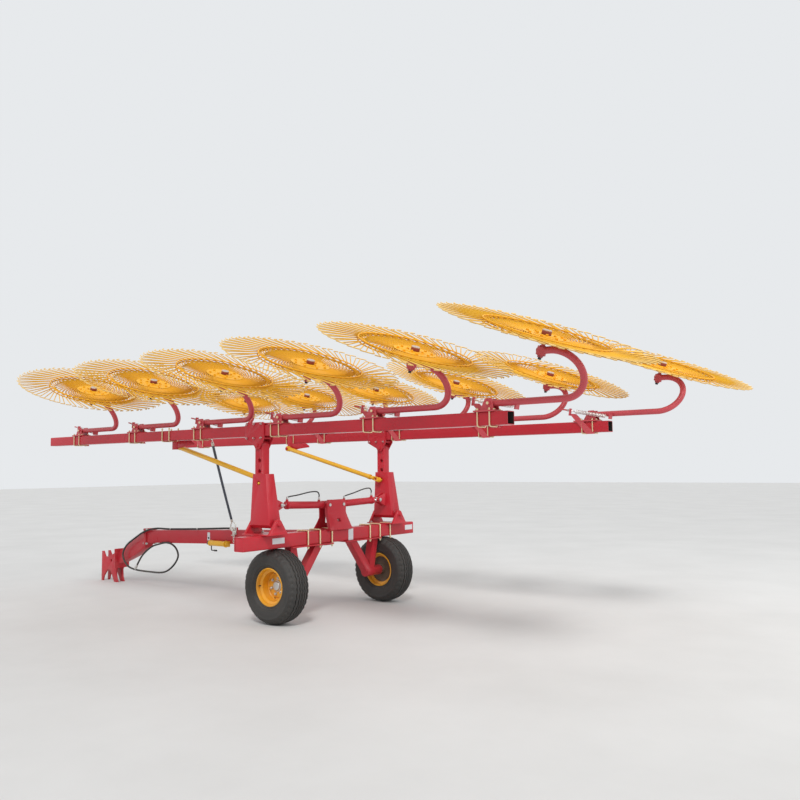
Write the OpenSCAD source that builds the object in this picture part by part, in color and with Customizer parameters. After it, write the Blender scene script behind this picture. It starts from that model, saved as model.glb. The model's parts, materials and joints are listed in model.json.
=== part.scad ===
// Rotary hay rake on its own two-wheeled cart, folded for the road.
// X points the way it is towed, Y to its left and Z up. The origin is on the
// ground, between the tyres and below the middle of the machine's length.

/* [Road wheels] */
// Outside diameter of a tyre
tyre_d = 674; // [640:5:730]
// Width of a tyre over its side walls
tyre_w = 240; // [210:5:260]
// Outside diameter of a rim's flanges
rim_d = 345; // [320:5:360]
// Distance between the two tyres' centre planes
track = 1548; // [1500:10:1600]
// Diameter of a stub axle
stub_d = 60; // [50:1:66]

/* [Cart] */
// Side of the square axle beam
axle_s = 126; // [110:5:140]
// Height of the axle beam's underside
axle_low = 682; // [660:1:700]
// Length of the axle beam
axle_len = 2436; // [2300:10:2600]
// Side of the square tubes of a wheel leg
leg_s = 80; // [60:5:90]
// Height of the drawbar's section
bar_h = 150; // [130:5:170]
// Width of the drawbar's section
bar_w = 110; // [90:5:130]
// Downward slope of the drawbar, in degrees
bar_slope = 2.3; // [1:0.1:3]
// Distance from the axle to the drawbar's joint with its nose
bar_reach = 3060; // [2800:20:3200]
// Diameter of the hitch pin's hole
hitch_hole_d = 34; // [26:1:40]

/* [Masts] */
// Distance from the middle of the machine to a mast's middle plane
mast_y = 879; // [860:1:900]
// Height of a mast's tilt axis
tilt_z = 904; // [902:1:920]
// Height of the axis that a rake beam turns on
pivot_z = 1620; // [1600:1:1640]
// Width of a mast's post, across the machine
post_w = 90; // [80:1:92]
// Depth of a mast's post, along the machine
post_d = 90; // [80:1:96]
// Diameter of a tilt pin
tilt_pin_d = 40; // [32:1:44]
// Diameter of the pin a rake beam turns on
pivot_pin_d = 36; // [28:1:40]
// Diameter of the setting holes in a mast
set_hole_d = 40; // [38:1:44]

/* [Rake beams] */
// Side of a rake beam's square tube
beam_s = 100; // [90:2:104]
// Distance from the axle to a rake beam's front end
beam_front = 3751; // [3700:10:3900]
// Distance from the axle to a rake beam's rear end
beam_rear = 2543; // [2500:10:2600]
// Distance from one rake wheel to the next
wheel_pitch = 1102; // [1050:2:1150]
// Number of rake wheels on a beam
wheel_count = 6; // [6]
// Outside diameter of an arm's tube
arm_d = 50; // [42:1:60]

/* [Rake wheels] */
// Diameter over the tips of the tines
rake_d = 1546; // [1400:10:1600]
// Number of tines on a rake wheel
tine_count = 40; // [32:2:48]
// Thickness of a tine's wire
tine_t = 7; // [5:0.5:9]
// Tilt of a rake wheel, its front edge up, in degrees
rake_tilt = 22; // [15:0.1:24]
// Lean of every rake wheel to the machine's left, in degrees
rake_lean = 5.5; // [0:0.1:7]
// Diameter of a rake wheel's axle
hub_pin_d = 28; // [20:1:34]

/* [Hidden] */
$fn = 48;
fit = 0.05;
gap = 0.3;

// The machine's middle is this far in front of its axle
mid_x = 173;

// Road wheels
tyre_r = tyre_d / 2;
hub_z = tyre_r;
wheel_y = track / 2;
rim_r = rim_d / 2;
rim_well_r = rim_r - 34;
rim_w = tyre_w - 56;
bead_gap = 0.2;
hub_r = stub_d / 2 + 22;
hub_in = 75;
hub_out = 6;
disc_in = -36;

// Cart
axle_top = axle_low + axle_s;
axle_mid = axle_low + axle_s / 2;
axle_wall = 8;
axle_open = 260;
leg_plate_t = 12;
leg_in_top = 250;
leg_out_top = 590;
leg_foot_y = 520;
leg_plate_y = [90, 645];
leg_foot_z = hub_z + 10;

// Masts
mast_x = 30;
mast_foot = [-125, 125];
mast_gap = 20;
pivot_x = 80;
clamp_x = pivot_x + 40;
column_top = 1357;
column_foot = tilt_z - 35;
column_foot_w = 148;
column_top_w = 104;
lug_t = 25;
lug_half = 130;
seat_t = 10;
lug_r = 45;
set_x = 68;
set_z = [1274, 1381, 1479];

// Rake beams
beam_z = pivot_z + 132;
beam_wall = 6;
plate_t = 12;
plate_y = beam_s / 2;
plate_half = 125;
clamp_bolt_d = 20;
clamp_bolts = [-97, 0, 97];
last_bracket = -2346;
bracket_xs = [for (i = [0 : wheel_count - 1]) last_bracket + (wheel_count - 1 - i) * wheel_pitch];

// Arms: a straight run to the rear, a half turn that leans outward, and a short end
arm_r = arm_d / 2;
arm_z = beam_z + beam_s / 2 + 62;
arm_lean = 34.5;
arm_run = 625;
arm_bend_r = 190;
arm_end = 55;
arm_rise = 2 * arm_bend_r;
hub_y = mast_y + arm_rise * sin(arm_lean);
hub_foot_z = arm_z + arm_rise * cos(arm_lean);
hub_foot_x = -arm_run + arm_end;
hub_len = 135;
hub_block = [-30, 28];

// Rake wheels
rake_r = rake_d / 2;
plate_r = 165;
plate_low = -45;
plate_rise_t = 9;
cup_r = 210;
ring_r = 430;
ring_w = 26;
hub_case_r = 45;
hub_case = [-75, 13];
hub_bore = -10;

// Hydraulic hose: along the drawbar's top, then in a loop beside its nose
hose_d = 22;
hose_sides = 8;
hose_steps = 4;
hose_route = [[1480, 30, 750], [1600, 30, 750], [2100, 30, 724], [2600, 34, 704], [2860, 62, 702],
    [3040, 93, 660], [3200, 98, 588], [3400, 98, 480], [3480, 98, 360], [3400, 98, 245],
    [3230, 98, 196], [2900, 98, 188], [2630, 96, 204], [2465, 90, 290], [2390, 80, 405],
    [2465, 70, 503], [2610, 68, 545], [2780, 70, 520], [2910, 86, 480], [3040, 114, 380],
    [3125, 128, 262]];
coupling_d = 32;
coupling_len = 70;

// Struts that set the angle of the beams
strut_y = mast_y - 92;
strut_d = 48;
strut_lug_x = 1464;
strut_lug_z = 1642;
strut_pin_d = 24;
strut_set_z = set_z[0];
strut_pin_reach = mast_y + 56 - strut_y;
strut_rod_in = 420;

// Cylinders that tilt the masts
ram_in = [100, 1045];
ram_out = [715, 1066];
ram_d = 70;
ram_rod_d = 30;
ram_pin_d = 28;
ram_x = mast_x;

// Helpers. side is 1 for the left of the machine and -1 for its right.

module sided(side) {
    if (side > 0) children();
    else mirror([0, 1, 0]) children();
}

// Places are measured from the axle and moved here to the machine's middle
module placed(side = 1) {
    translate([-mid_x, 0, 0]) sided(side) children();
}

// A box between two corners
module block(low, high) {
    translate(low) cube(high - low);
}

// A cylinder along Y, between two places
module rod_y(x, z, r, y0, y1) {
    translate([x, y0, z]) rotate([-90, 0, 0]) cylinder(r = r, h = y1 - y0);
}

// A cylinder along X, between two places
module rod_x(y, z, r, x0, x1) {
    translate([x0, y, z]) rotate([0, 90, 0]) cylinder(r = r, h = x1 - x0);
}

// A flat shape drawn in X and Z, as thick as y0 to y1
module slab_xz(y0, y1) {
    translate([0, y1, 0]) rotate([90, 0, 0]) linear_extrude(y1 - y0) children();
}

// A flat shape drawn in Y and Z, as thick as x0 to x1
module slab_yz(x0, x1) {
    translate([x0, 0, 0]) rotate([90, 0, 90]) linear_extrude(x1 - x0) children();
}

// Road wheel

module tyre(side) {
    half = tyre_w / 2;
    bead = rim_w / 2;
    profile = [[rim_r - 15 + bead_gap, bead - 12.6], [rim_r + 1, bead - 9], [rim_r + 3, bead - 2], [rim_r + 30, half - 12],
        [(rim_r + tyre_r) / 2, half], [tyre_r - 45, half - 7], [tyre_r - 20, half - 24],
        [tyre_r - 6, half - 52], [tyre_r, half - 86]];
    mirrored = [for (i = [len(profile) - 1 : -1 : 0]) [profile[i][0], -profile[i][1]]];
    color("#26262a") placed(side) translate([0, wheel_y, hub_z]) rotate([90, 0, 0])
        rotate_extrude($fn = 96) polygon(concat(profile, mirrored));
}

module rim(side) {
    bead = rim_w / 2;
    well = rim_well_r;
    shell = [[rim_r, bead], [rim_r, bead - 8], [rim_r - 15, bead - 12], [rim_r - 15, bead - 34],
        [well, 42], [well, -42], [rim_r - 15, 34 - bead], [rim_r - 15, 12 - bead], [rim_r, 8 - bead], [rim_r, -bead], [rim_r - 22, -bead],
        [well - 8, -48], [well - 8, 48], [rim_r - 22, bead]];
    color("#e79a1d") placed(side) translate([0, wheel_y, hub_z]) rotate([-90, 0, 0]) difference() {
        union() {
            rotate_extrude($fn = 96) polygon(shell);
            translate([0, 0, disc_in]) rotate_extrude($fn = 96) polygon([[0, 0], [well - 4, 0],
                [well - 4, 8], [108, 8], [92, 22], [0, 22]]);
            translate([0, 0, -hub_in]) cylinder(r = hub_r, h = hub_in + hub_out);
        }
        translate([0, 0, -hub_in - 1]) cylinder(r = stub_d / 2 + fit, h = hub_in + hub_out - 11);
    }
}

// Cart

module axle_beam() {
    half = axle_len / 2;
    h = axle_s / 2;
    color("#c01f2c") placed() difference() {
        block([-h, -half, axle_low], [h, half, axle_top]);
        for (s = [1, -1]) sided(s)
            block([axle_wall - h, half - axle_open, axle_low + axle_wall],
                [h - axle_wall, half + 1, axle_top - axle_wall]);
    }
}

bar_start = axle_s / 2 + gap;
bar_rear_z = axle_mid - 27;
bar_drop = tan(bar_slope);
function bar_z(x) = bar_rear_z - (x - bar_start) * bar_drop;

module drawbar() {
    h = bar_h / 2;
    flange = h + 22;
    end = bar_reach;
    color("#c01f2c") placed() {
        slab_xz(-bar_w / 2, bar_w / 2) polygon([[bar_start, bar_z(bar_start) - h],
            [end, bar_z(end) - h], [end, bar_z(end) + h], [bar_start, bar_z(bar_start) + h]]);
        block([bar_start, -190, axle_low + 2], [bar_start + 16, 190, axle_top - 4]);
        for (s = [1, -1]) slab_xz(s * 100 - 6, s * 100 + 6)
            polygon([[bar_start + 15, axle_low + 6], [bar_start + 220, bar_z(220) - 40],
                [bar_start + 220, bar_z(220) + 40], [bar_start + 15, axle_top - 24]]);
        for (s = [1, -1]) sided(s)
            block([bar_start + 190, bar_w / 2 - 1, bar_z(220) - 40],
                [bar_start + 220, 106, bar_z(220) + 40]);
        block([end - 20, -bar_w / 2 - 22, bar_z(end) - flange],
            [end, bar_w / 2 + 22, bar_z(end) + flange]);
        // Block that the hose is screwed into
        block([hose_route[0][0] - 60, hose_route[0][1] - 20, bar_z(hose_route[0][0]) + h - 1],
            [hose_route[0][0], hose_route[0][1] + 20, hose_route[0][2] + 16]);
    }
}

nose_start = bar_reach + gap;
nose_x = bar_reach + 585;
nose_z = 300;
nose_tip_h = 145;
nose_mid = [bar_reach + 294, 332, 538];

module drawbar_nose() {
    z0 = bar_z(bar_reach);
    flange = bar_h / 2 + 22;
    color("#c01f2c") placed() {
        block([nose_start, -bar_w / 2 - 22, z0 - flange], [nose_start + 20, bar_w / 2 + 22, z0 + flange]);
        slab_xz(-bar_w / 2, bar_w / 2) polygon([[nose_start + 19, z0 - bar_h / 2 - 62],
            [nose_mid[0], nose_mid[1]], [nose_x, nose_z - nose_tip_h / 2],
            [nose_x, nose_z + nose_tip_h / 2], [nose_mid[0], nose_mid[2]], [nose_start + 19, z0 + bar_h / 2]]);
        block([nose_x - 1, -100, nose_z - 120], [nose_x + 20, 100, nose_z + 120]);
    }
}

hitch_pin_x = nose_x + 155;
hitch_pin_z = 262;
cheek_t = 20;
cheek_in = 34;

module hitch() {
    x0 = nose_x + 20 + gap;
    outline = [[x0, 190], [x0 + 28, 150], [x0 + 20, 60], [x0 - 8, 0], [x0 + 70, 0],
        [x0 + 110, 70], [x0 + 150, 130], [x0 + 215, 150], [x0 + 300, 60], [x0 + 318, 0],
        [x0 + 352, 0], [x0 + 352, nose_z + nose_tip_h / 2], [x0 + 318, nose_z + nose_tip_h / 2],
        [x0 + 280, 310], [x0 + 215, 300], [x0 + 90, 352], [x0 + 40, 370], [x0, nose_z + 60]];
    color("#c01f2c") placed() difference() {
        union() {
            for (s = [1, -1]) sided(s) slab_xz(cheek_in, cheek_in + cheek_t) polygon(outline);
            block([x0, -cheek_in - 1, 195], [x0 + 40, cheek_in + 1, 355]);
        }
        rod_y(hitch_pin_x, hitch_pin_z, hitch_hole_d / 2, -100, 100);
    }
}

module centre_bracket() {
    base = axle_top;
    y0 = ram_in[0];
    color("#c01f2c") placed() difference() {
        union() {
            for (x = [ram_x - 62, ram_x + 38]) slab_yz(x, x + 24)
                polygon([[-205, base], [205, base], [y0 + 42, ram_in[1] + 10],
                    [y0 + 20, ram_in[1] + 42], [-y0 - 20, ram_in[1] + 42], [-y0 - 42, ram_in[1] + 10]]);
            block([ram_x - 62, -205, base], [ram_x + 62, 205, base + 16]);
            block([ram_x - 40, -24, base + 10], [ram_x + 40, 24, ram_in[1] + 20]);
        }
        for (s = [1, -1]) rod_x(s * y0, ram_in[1], ram_pin_d / 2 + fit, ram_x - 80, ram_x + 80);
    }
}

module mast_seat(side) {
    x0 = mast_x + mast_foot[0] - mast_gap - lug_t;
    x1 = mast_x + mast_foot[1] + mast_gap + lug_t;
    color("#c01f2c") placed(side) {
        block([x0 - 8, mast_y - lug_half, axle_top], [x1 + 8, mast_y + lug_half, axle_top + seat_t]);
        for (x = [x0, x1 - lug_t]) slab_yz(x, x + lug_t) lug_outline();
        rod_x(mast_y, tilt_z, tilt_pin_d / 2, x0 - 24, x1 + 24);
    }
}

// A lug's outline: straight sides up to a round top about the tilt axis
module lug_outline() {
    half = 112;
    top = tilt_z;
    union() {
        translate([mast_y, top]) circle(r = lug_r);
        polygon([[mast_y - half, axle_top + seat_t - 1], [mast_y + half, axle_top + seat_t - 1],
            [mast_y + lug_r * cos(25), top + lug_r * sin(25)],
            [mast_y - lug_r * cos(25), top + lug_r * sin(25)]]);
    }
}

// A square tube between two places in the Y-Z plane
module leg_tube(a, b, s) {
    d = b - a;
    l = norm(d);
    n = [-d[1], d[0]] * (s / 2 / l);
    slab_yz(-s / 2, s / 2) polygon([a + n, b + n, b - n, a - n]);
}

module wheel_leg(side) {
    top = axle_low - gap - leg_plate_t;
    color("#b81d2a") placed(side) {
        block([-axle_s / 2 - 22, leg_plate_y[0], top], [axle_s / 2 + 22, leg_plate_y[1], top + leg_plate_t]);
        intersection() {
            union() {
                leg_tube([leg_in_top - 30, top + 36], [leg_foot_y - 15, leg_foot_z - 10], leg_s);
                leg_tube([leg_out_top + 12, top + 36], [leg_foot_y + 6, leg_foot_z - 10], leg_s);
            }
            block([-100, 0, hub_z - 60], [100, 1000, top + 1]);
        }
        rod_y(0, hub_z, 52, leg_foot_y - 55, wheel_y - hub_in - 6);
        rod_y(0, hub_z, stub_d / 2, leg_foot_y, wheel_y + hub_out - 16);
    }
}

jack_x = bar_reach - 1395;
jack_z = 585;

module parking_jack() {
    y = bar_w / 2 + 34;
    x = jack_x;
    z = jack_z;
    color("#e7a01f") placed() {
        rod_x(y, z, 30, x - 135, x + 135);
        for (dx = [-70, 70]) block([x + dx - 20, bar_w / 2 + gap, z - 20], [x + dx + 20, y, z + 20]);
    }
    color("#2b2b2e") placed() {
        rod_x(y, z, 22, x + 134, x + 175);
        block([x + 100, y - 10, z - 80], [x + 120, y + 10, z - 15]);
    }
}

// A smooth line through the route's places
function hose_at(i, t) = let (p = hose_route, a = p[max(i - 1, 0)], b = p[i], c = p[i + 1],
    d = p[min(i + 2, len(p) - 1)])
    b + t * (c - a) / 2 + t * t * (2 * a - 5 * b + 4 * c - d) / 2 + t * t * t * (3 * b - a - 3 * c + d) / 2;
hose_last = len(hose_route) - 1;
hose_end = hose_route[hose_last];
hose_end_way = hose_end - hose_route[hose_last - 1];
hose_line = [for (i = [0 : hose_last - 1], k = [0 : hose_steps - 1]) hose_at(i, k / hose_steps), hose_end];
function hose_way(i) = i == 0 ? [1, 0, 0]
    : i == len(hose_line) - 1 ? hose_end_way / norm(hose_end_way)
    : let (d = hose_line[i + 1] - hose_line[i - 1]) d / norm(d);
function hose_ring(i) = let (way = hose_way(i), across = cross(way, [0, 1, 0]),
    u = across / norm(across), v = cross(way, u))
    [for (k = [0 : hose_sides - 1]) let (a = 360 * k / hose_sides)
        hose_line[i] + (u * cos(a) + v * sin(a)) * hose_d / 2];

module hose() {
    n = hose_sides;
    last = len(hose_line) - 1;
    rings = [for (i = [0 : last]) each hose_ring(i)];
    sides = [for (i = [0 : last - 1], k = [0 : n - 1]) let (a = i * n + k, b = i * n + (k + 1) % n)
        each [[a, a + n, b], [b, a + n, b + n]]];
    caps = [[for (k = [0 : n - 1]) k], [for (k = [n - 1 : -1 : 0]) last * n + k]];
    color("#1c1c1f") placed() polyhedron(rings, concat(sides, caps));
}

// Quick coupling on the hose's free end
module hose_coupling() {
    way = hose_end_way;
    color("#c9c9cc") placed() translate(hose_end)
        rotate([0, acos(way[2] / norm(way)), atan2(way[1], way[0])])
            cylinder(r = coupling_d / 2, h = coupling_len);
}

// Mast: a tapered box column with a post above it
module mast(side) {
    f = [mast_x + mast_foot[0], mast_x + mast_foot[1]];
    foot = column_foot;
    w0 = column_foot_w / 2;
    w1 = column_top_w / 2;
    color("#c01f2c") placed(side) difference() {
        union() {
            intersection() {
                slab_xz(mast_y - 200, mast_y + 200) polygon([[f[0], foot], [f[1], foot],
                    [mast_x + 118, column_top], [mast_x - 50, column_top]]);
                slab_yz(-400, 400) polygon([[mast_y - w0 + 30, foot], [mast_y + w0 - 30, foot],
                    [mast_y + w0, foot + 30], [mast_y + w1, column_top],
                    [mast_y - w1, column_top], [mast_y - w0, foot + 30]]);
            }
            block([pivot_x - post_d / 2, mast_y - post_w / 2, column_top - 1],
                [pivot_x + post_d / 2, mast_y + post_w / 2, pivot_z]);
            rod_y(pivot_x, pivot_z, post_d / 2, mast_y - post_w / 2, mast_y + post_w / 2);
            // Ears for the tilt cylinder's rod
            for (x = [ram_x - 38, ram_x + 18]) slab_yz(x, x + 20)
                polygon([[mast_y - 60, ram_out[1] - 75], [ram_out[0] - 14, ram_out[1] - 24],
                    [ram_out[0] - 26, ram_out[1]], [ram_out[0] - 14, ram_out[1] + 24],
                    [mast_y - 56, ram_out[1] + 75]]);
        }
        rod_x(mast_y, tilt_z, tilt_pin_d / 2 + fit, -500, 500);
        rod_y(pivot_x, pivot_z, pivot_pin_d / 2 + fit, mast_y - 100, mast_y + 100);
        for (z = set_z) rod_y(set_x, z, set_hole_d / 2, mast_y - 100, mast_y + 100);
    }
}

// Rake beam and what it carries

module beam(side) {
    h = beam_s / 2;
    color("#c01f2c") placed(side) difference() {
        block([-beam_rear, mast_y - h, beam_z - h], [beam_front, mast_y + h, beam_z + h]);
        for (x = [[-beam_rear - 1, -beam_rear + 300], [beam_front - 300, beam_front + 1]])
            block([x[0], mast_y - h + beam_wall, beam_z - h + beam_wall],
                [x[1], mast_y + h - beam_wall, beam_z + h - beam_wall]);
    }
}

module beam_clamp(side) {
    h = beam_s / 2;
    low = beam_z - h - 32;
    high = beam_z + h + 28;
    x = clamp_x;
    p = pivot_x;
    outline = [[x - plate_half, high - 14], [x - plate_half + 14, high], [x + plate_half - 14, high],
        [x + plate_half, high - 14], [x + plate_half, low + 6], [p + 42, pivot_z - 6],
        [p + 24, pivot_z - 36], [p - 24, pivot_z - 36], [p - 42, pivot_z - 6], [x - plate_half, low + 6]];
    color("#c01f2c") placed(side) {
        for (y = [mast_y - h - gap - plate_t, mast_y + h + gap]) slab_xz(y, y + plate_t) polygon(outline);
        for (dx = clamp_bolts, z = [beam_z + h + 13, beam_z - h - 16])
            rod_y(x + dx, z, clamp_bolt_d / 2, mast_y - h - plate_t - 14, mast_y + h + plate_t + 14);
        rod_y(p, pivot_z, pivot_pin_d / 2, mast_y - h - plate_t - 12, mast_y + h + plate_t + 12);
        // Lug for the strut, on the beam's inner side
        block([strut_lug_x - 40, mast_y - h - gap - 14, strut_lug_z - 30],
            [strut_lug_x + 40, mast_y - h - gap, beam_z + 20]);
        rod_y(strut_lug_x, strut_lug_z, strut_pin_d / 2, strut_y - 28, mast_y - h - gap - 1);
    }
}

// Children are drawn from the foot of a rake wheel's axle, along the axle
module along_hub(x, side) {
    translate([x + hub_foot_x, hub_y, hub_foot_z])
        rotate([-side * rake_lean, 0, 0]) rotate([0, -rake_tilt, 0]) children();
}

// One arm with its bracket, at a bracket's place along the beam
module arm(x, side) {
    top = beam_z + beam_s / 2 + gap;
    h = beam_s / 2;
    translate([x, mast_y, 0]) {
        // Saddle over the beam
        block([-95, -h - 14, top], [85, h + 14, top + 12]);
        for (s = [1, -1]) slab_xz(s * 38 - 5, s * 38 + 5)
            polygon([[-80, top + 11], [40, top + 11], [-10, arm_z + 36], [-62, arm_z + 36]]);
        rod_y(-38, arm_z, 15, -45, 52);
        // Slanted plate on the inner side
        slab_xz(-h - gap - 12, -h - gap) polygon([[-75, beam_z - h - 14], [5, beam_z - h - 14],
            [150, arm_z - 4], [166, arm_z + 16], [104, arm_z + 10]]);
        // Ears that the spring pulls on: one on the slanted plate, one on the tube
        along_spring() {
            block([-46, -14, -12 - gap], [20, 14, -gap]);
            block([-20, -14, spring_len + gap], [40, 42, spring_len + 12]);
        }
        block([84, -h - 12, top + 1], [132, -30, top + 12]);
        // Tube
        translate([0, 0, arm_z]) rotate([-arm_lean, 0, 0]) {
            translate([-arm_run, 0, 0]) rotate([0, 90, 0]) cylinder(r = arm_r, h = arm_run - 10);
            translate([-arm_run, 0, arm_bend_r]) rotate([90, 0, 0]) rotate([0, 0, 90])
                rotate_extrude(angle = 180) translate([arm_bend_r, 0]) circle(r = arm_r);
            translate([-arm_run, 0, arm_rise]) rotate([0, 90, 0]) cylinder(r = arm_r, h = arm_end + 30);
        }
    }
    // Hub bracket and axle
    along_hub(x, side) {
        translate([0, 0, hub_block[0]]) cylinder(r = 34, h = hub_block[1] - hub_block[0]);
        translate([0, 0, hub_block[0] - 14]) cylinder(r = 20, h = 15);
        translate([0, 0, hub_block[1] - 1]) cylinder(r = hub_pin_d / 2 + 8, h = 9);
        cylinder(r = hub_pin_d / 2, h = hub_len + hub_bore - 4);
    }
}

module arms(side) {
    color("#b81d2a") placed(side) for (x = bracket_xs) arm(x, side);
}

// Tension springs beside the arms. Children are drawn along +Z from a spring's front end.
spring_a = [150, arm_z + 42];
spring_b = [-215, arm_z - 30];
spring_y = -62;
spring_axis = spring_b - spring_a;
spring_len = norm(spring_axis);

module along_spring() {
    translate([spring_a[0], spring_y, spring_a[1]])
        rotate([0, atan2(spring_axis[1], -spring_axis[0]) - 90, 0]) children();
}

module springs(side) {
    color("#8a8a8c") placed(side) for (x = bracket_xs) translate([x, mast_y, 0])
        along_spring() cylinder(r = 16, h = spring_len);
}

// Rake wheel: a star of tines about a dished hub plate, with a stiffening ring
tine_step = 360 / tine_count;
tine_root = cup_r - 12;

// A tine's middle line, in polar form: it sweeps back and its tip hooks forward
function tine_mid(t) = let (r = tine_root + (rake_r - 4 - tine_root) * t,
    a = 17 * t - (t > 0.86 ? 34 * (t - 0.86) : 0)) [r, a];
tine_ts = [0, 0.2, 0.4, 0.6, 0.78, 0.88, 1];
function tine_side(base, s) = [for (t = tine_ts) let (m = tine_mid(t),
    a = base + m[1] + s * asin(tine_t / 2 / m[0])) m[0] * [cos(a), sin(a)]];
function turned_round(list) = [for (i = [len(list) - 1 : -1 : 0]) list[i]];

module tine_star() {
    polygon([for (i = [0 : tine_count - 1]) each concat(tine_side(i * tine_step, -1),
        turned_round(tine_side(i * tine_step, 1)))]);
}

module rake_wheel(side, i) {
    color("#eba21c") placed(side)
        along_hub(bracket_xs[i], side) translate([0, 0, hub_len]) difference() {
            union() {
                linear_extrude(tine_t, center = true) tine_star();
                linear_extrude(tine_t + 6, center = true) difference() {
                    circle(r = ring_r + ring_w / 2, $fn = 96);
                    circle(r = ring_r - ring_w / 2, $fn = 96);
                }
                rotate_extrude($fn = 96) polygon([[hub_case_r - 2, plate_low], [plate_r, plate_low],
                    [cup_r, -tine_t / 2 - 1], [cup_r, tine_t / 2 + 1], [cup_r - 10, tine_t / 2 + 1],
                    [plate_r - 5, plate_low + plate_rise_t], [hub_case_r - 2, plate_low + plate_rise_t]]);
                translate([0, 0, hub_case[0]]) cylinder(r = hub_case_r, h = hub_case[1] - hub_case[0]);
            }
            translate([0, 0, hub_case[0] - 1]) cylinder(r = hub_pin_d / 2 + fit, h = hub_bore - hub_case[0] + 1);
        }
}

// Tilt cylinders, in the Y-Z plane
ram_axis = ram_out - ram_in;
ram_len = norm(ram_axis);
ram_angle = atan2(ram_axis[1], ram_axis[0]);

// Children are drawn along +Y from the centre bracket's pin
module along_ram(side) {
    placed(side) translate([ram_x, ram_in[0], ram_in[1]]) rotate([ram_angle, 0, 0]) children();
}

module tilt_barrel(side) {
    color("#c01f2c") along_ram(side) difference() {
        union() {
            rod_y(0, 0, ram_d / 2, 40, ram_len - 90);
            rod_y(0, 0, ram_d / 2 + 4, ram_len - 110, ram_len - 86);
            intersection() {
                rod_x(0, 0, 34, -20, 20);
                block([-20, -34, -34], [20, 34, 34]);
            }
            block([-20, 0, -26], [20, 42, 26]);
            rod_x(0, 0, ram_pin_d / 2, -68, 68);
        }
        rod_y(0, 0, ram_rod_d / 2 + fit, 60, ram_len);
    }
}

module tilt_rod(side) {
    color("#c9c9cc") along_ram(side) {
        rod_y(0, 0, ram_rod_d / 2, 120, ram_len - 20);
        difference() {
            rod_x(ram_len, 0, 28, -14, 14);
            rod_x(ram_len, 0, 14, -30, 30);
        }
    }
}

// Struts, in the X-Z plane
strut_a = [strut_lug_x, strut_lug_z];
strut_b = [set_x, strut_set_z];
strut_axis = strut_b - strut_a;
strut_len = norm(strut_axis);
strut_angle = atan2(strut_axis[1], -strut_axis[0]);

// Children are drawn along -X from the beam's lug pin
module along_strut(side) {
    placed(side) translate([strut_a[0], strut_y, strut_a[1]]) rotate([0, strut_angle, 0]) children();
}

module strut_tube(side) {
    color("#e7a01f") along_strut(side) difference() {
        union() {
            rotate([0, -90, 0]) translate([0, 0, 20]) cylinder(r = strut_d / 2, h = strut_len - 140);
            rod_y(0, 0, 30, -20, 20);
        }
        rotate([0, -90, 0]) translate([0, 0, 300]) cylinder(r = 17 + fit, h = strut_len);
        rod_y(0, 0, strut_pin_d / 2 + fit, -40, 40);
    }
}

module strut_rod(side) {
    color("#dc941c") along_strut(side) {
        rotate([0, -90, 0]) translate([0, 0, strut_rod_in]) cylinder(r = 17, h = strut_len - strut_rod_in - 20);
        rod_y(-strut_len, 0, 26, -16, 16);
        rod_y(-strut_len, 0, 12, -24, strut_pin_reach);
    }
}

axle_beam();
drawbar();
drawbar_nose();
hitch();
centre_bracket();
mast_seat(1);  // mast_seat_left
mast_seat(-1);  // mast_seat_right
wheel_leg(1);  // wheel_leg_left
wheel_leg(-1);  // wheel_leg_right
parking_jack();
hose();
hose_coupling();
tyre(1);  // tyre_left
tyre(-1);  // tyre_right
rim(1);  // rim_left
rim(-1);  // rim_right
mast(1);  // mast_left
mast(-1);  // mast_right
beam(1);  // beam_left
beam(-1);  // beam_right
beam_clamp(1);  // beam_clamp_left
beam_clamp(-1);  // beam_clamp_right
arms(1);  // arms_left
arms(-1);  // arms_right
springs(1);  // springs_left
springs(-1);  // springs_right
tilt_barrel(1);  // tilt_barrel_left
tilt_barrel(-1);  // tilt_barrel_right
tilt_rod(1);  // tilt_rod_left
tilt_rod(-1);  // tilt_rod_right
strut_tube(1);  // strut_tube_left
strut_tube(-1);  // strut_tube_right
strut_rod(1);  // strut_rod_left
strut_rod(-1);  // strut_rod_right
rake_wheel(1, 0);  // rake_wheel_left_1
rake_wheel(1, 1);  // rake_wheel_left_2
rake_wheel(1, 2);  // rake_wheel_left_3
rake_wheel(1, 3);  // rake_wheel_left_4
rake_wheel(1, 4);  // rake_wheel_left_5
rake_wheel(1, 5);  // rake_wheel_left_6
rake_wheel(-1, 0);  // rake_wheel_right_1
rake_wheel(-1, 1);  // rake_wheel_right_2
rake_wheel(-1, 2);  // rake_wheel_right_3
rake_wheel(-1, 3);  // rake_wheel_right_4
rake_wheel(-1, 4);  // rake_wheel_right_5
rake_wheel(-1, 5);  // rake_wheel_right_6
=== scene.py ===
"""Looks for the rotary hay rake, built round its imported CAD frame."""

import json
import math

import bmesh
import bpy
from bpy.props import FloatProperty, FloatVectorProperty, IntProperty, PointerProperty
from mathutils import Matrix, Vector


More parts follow.
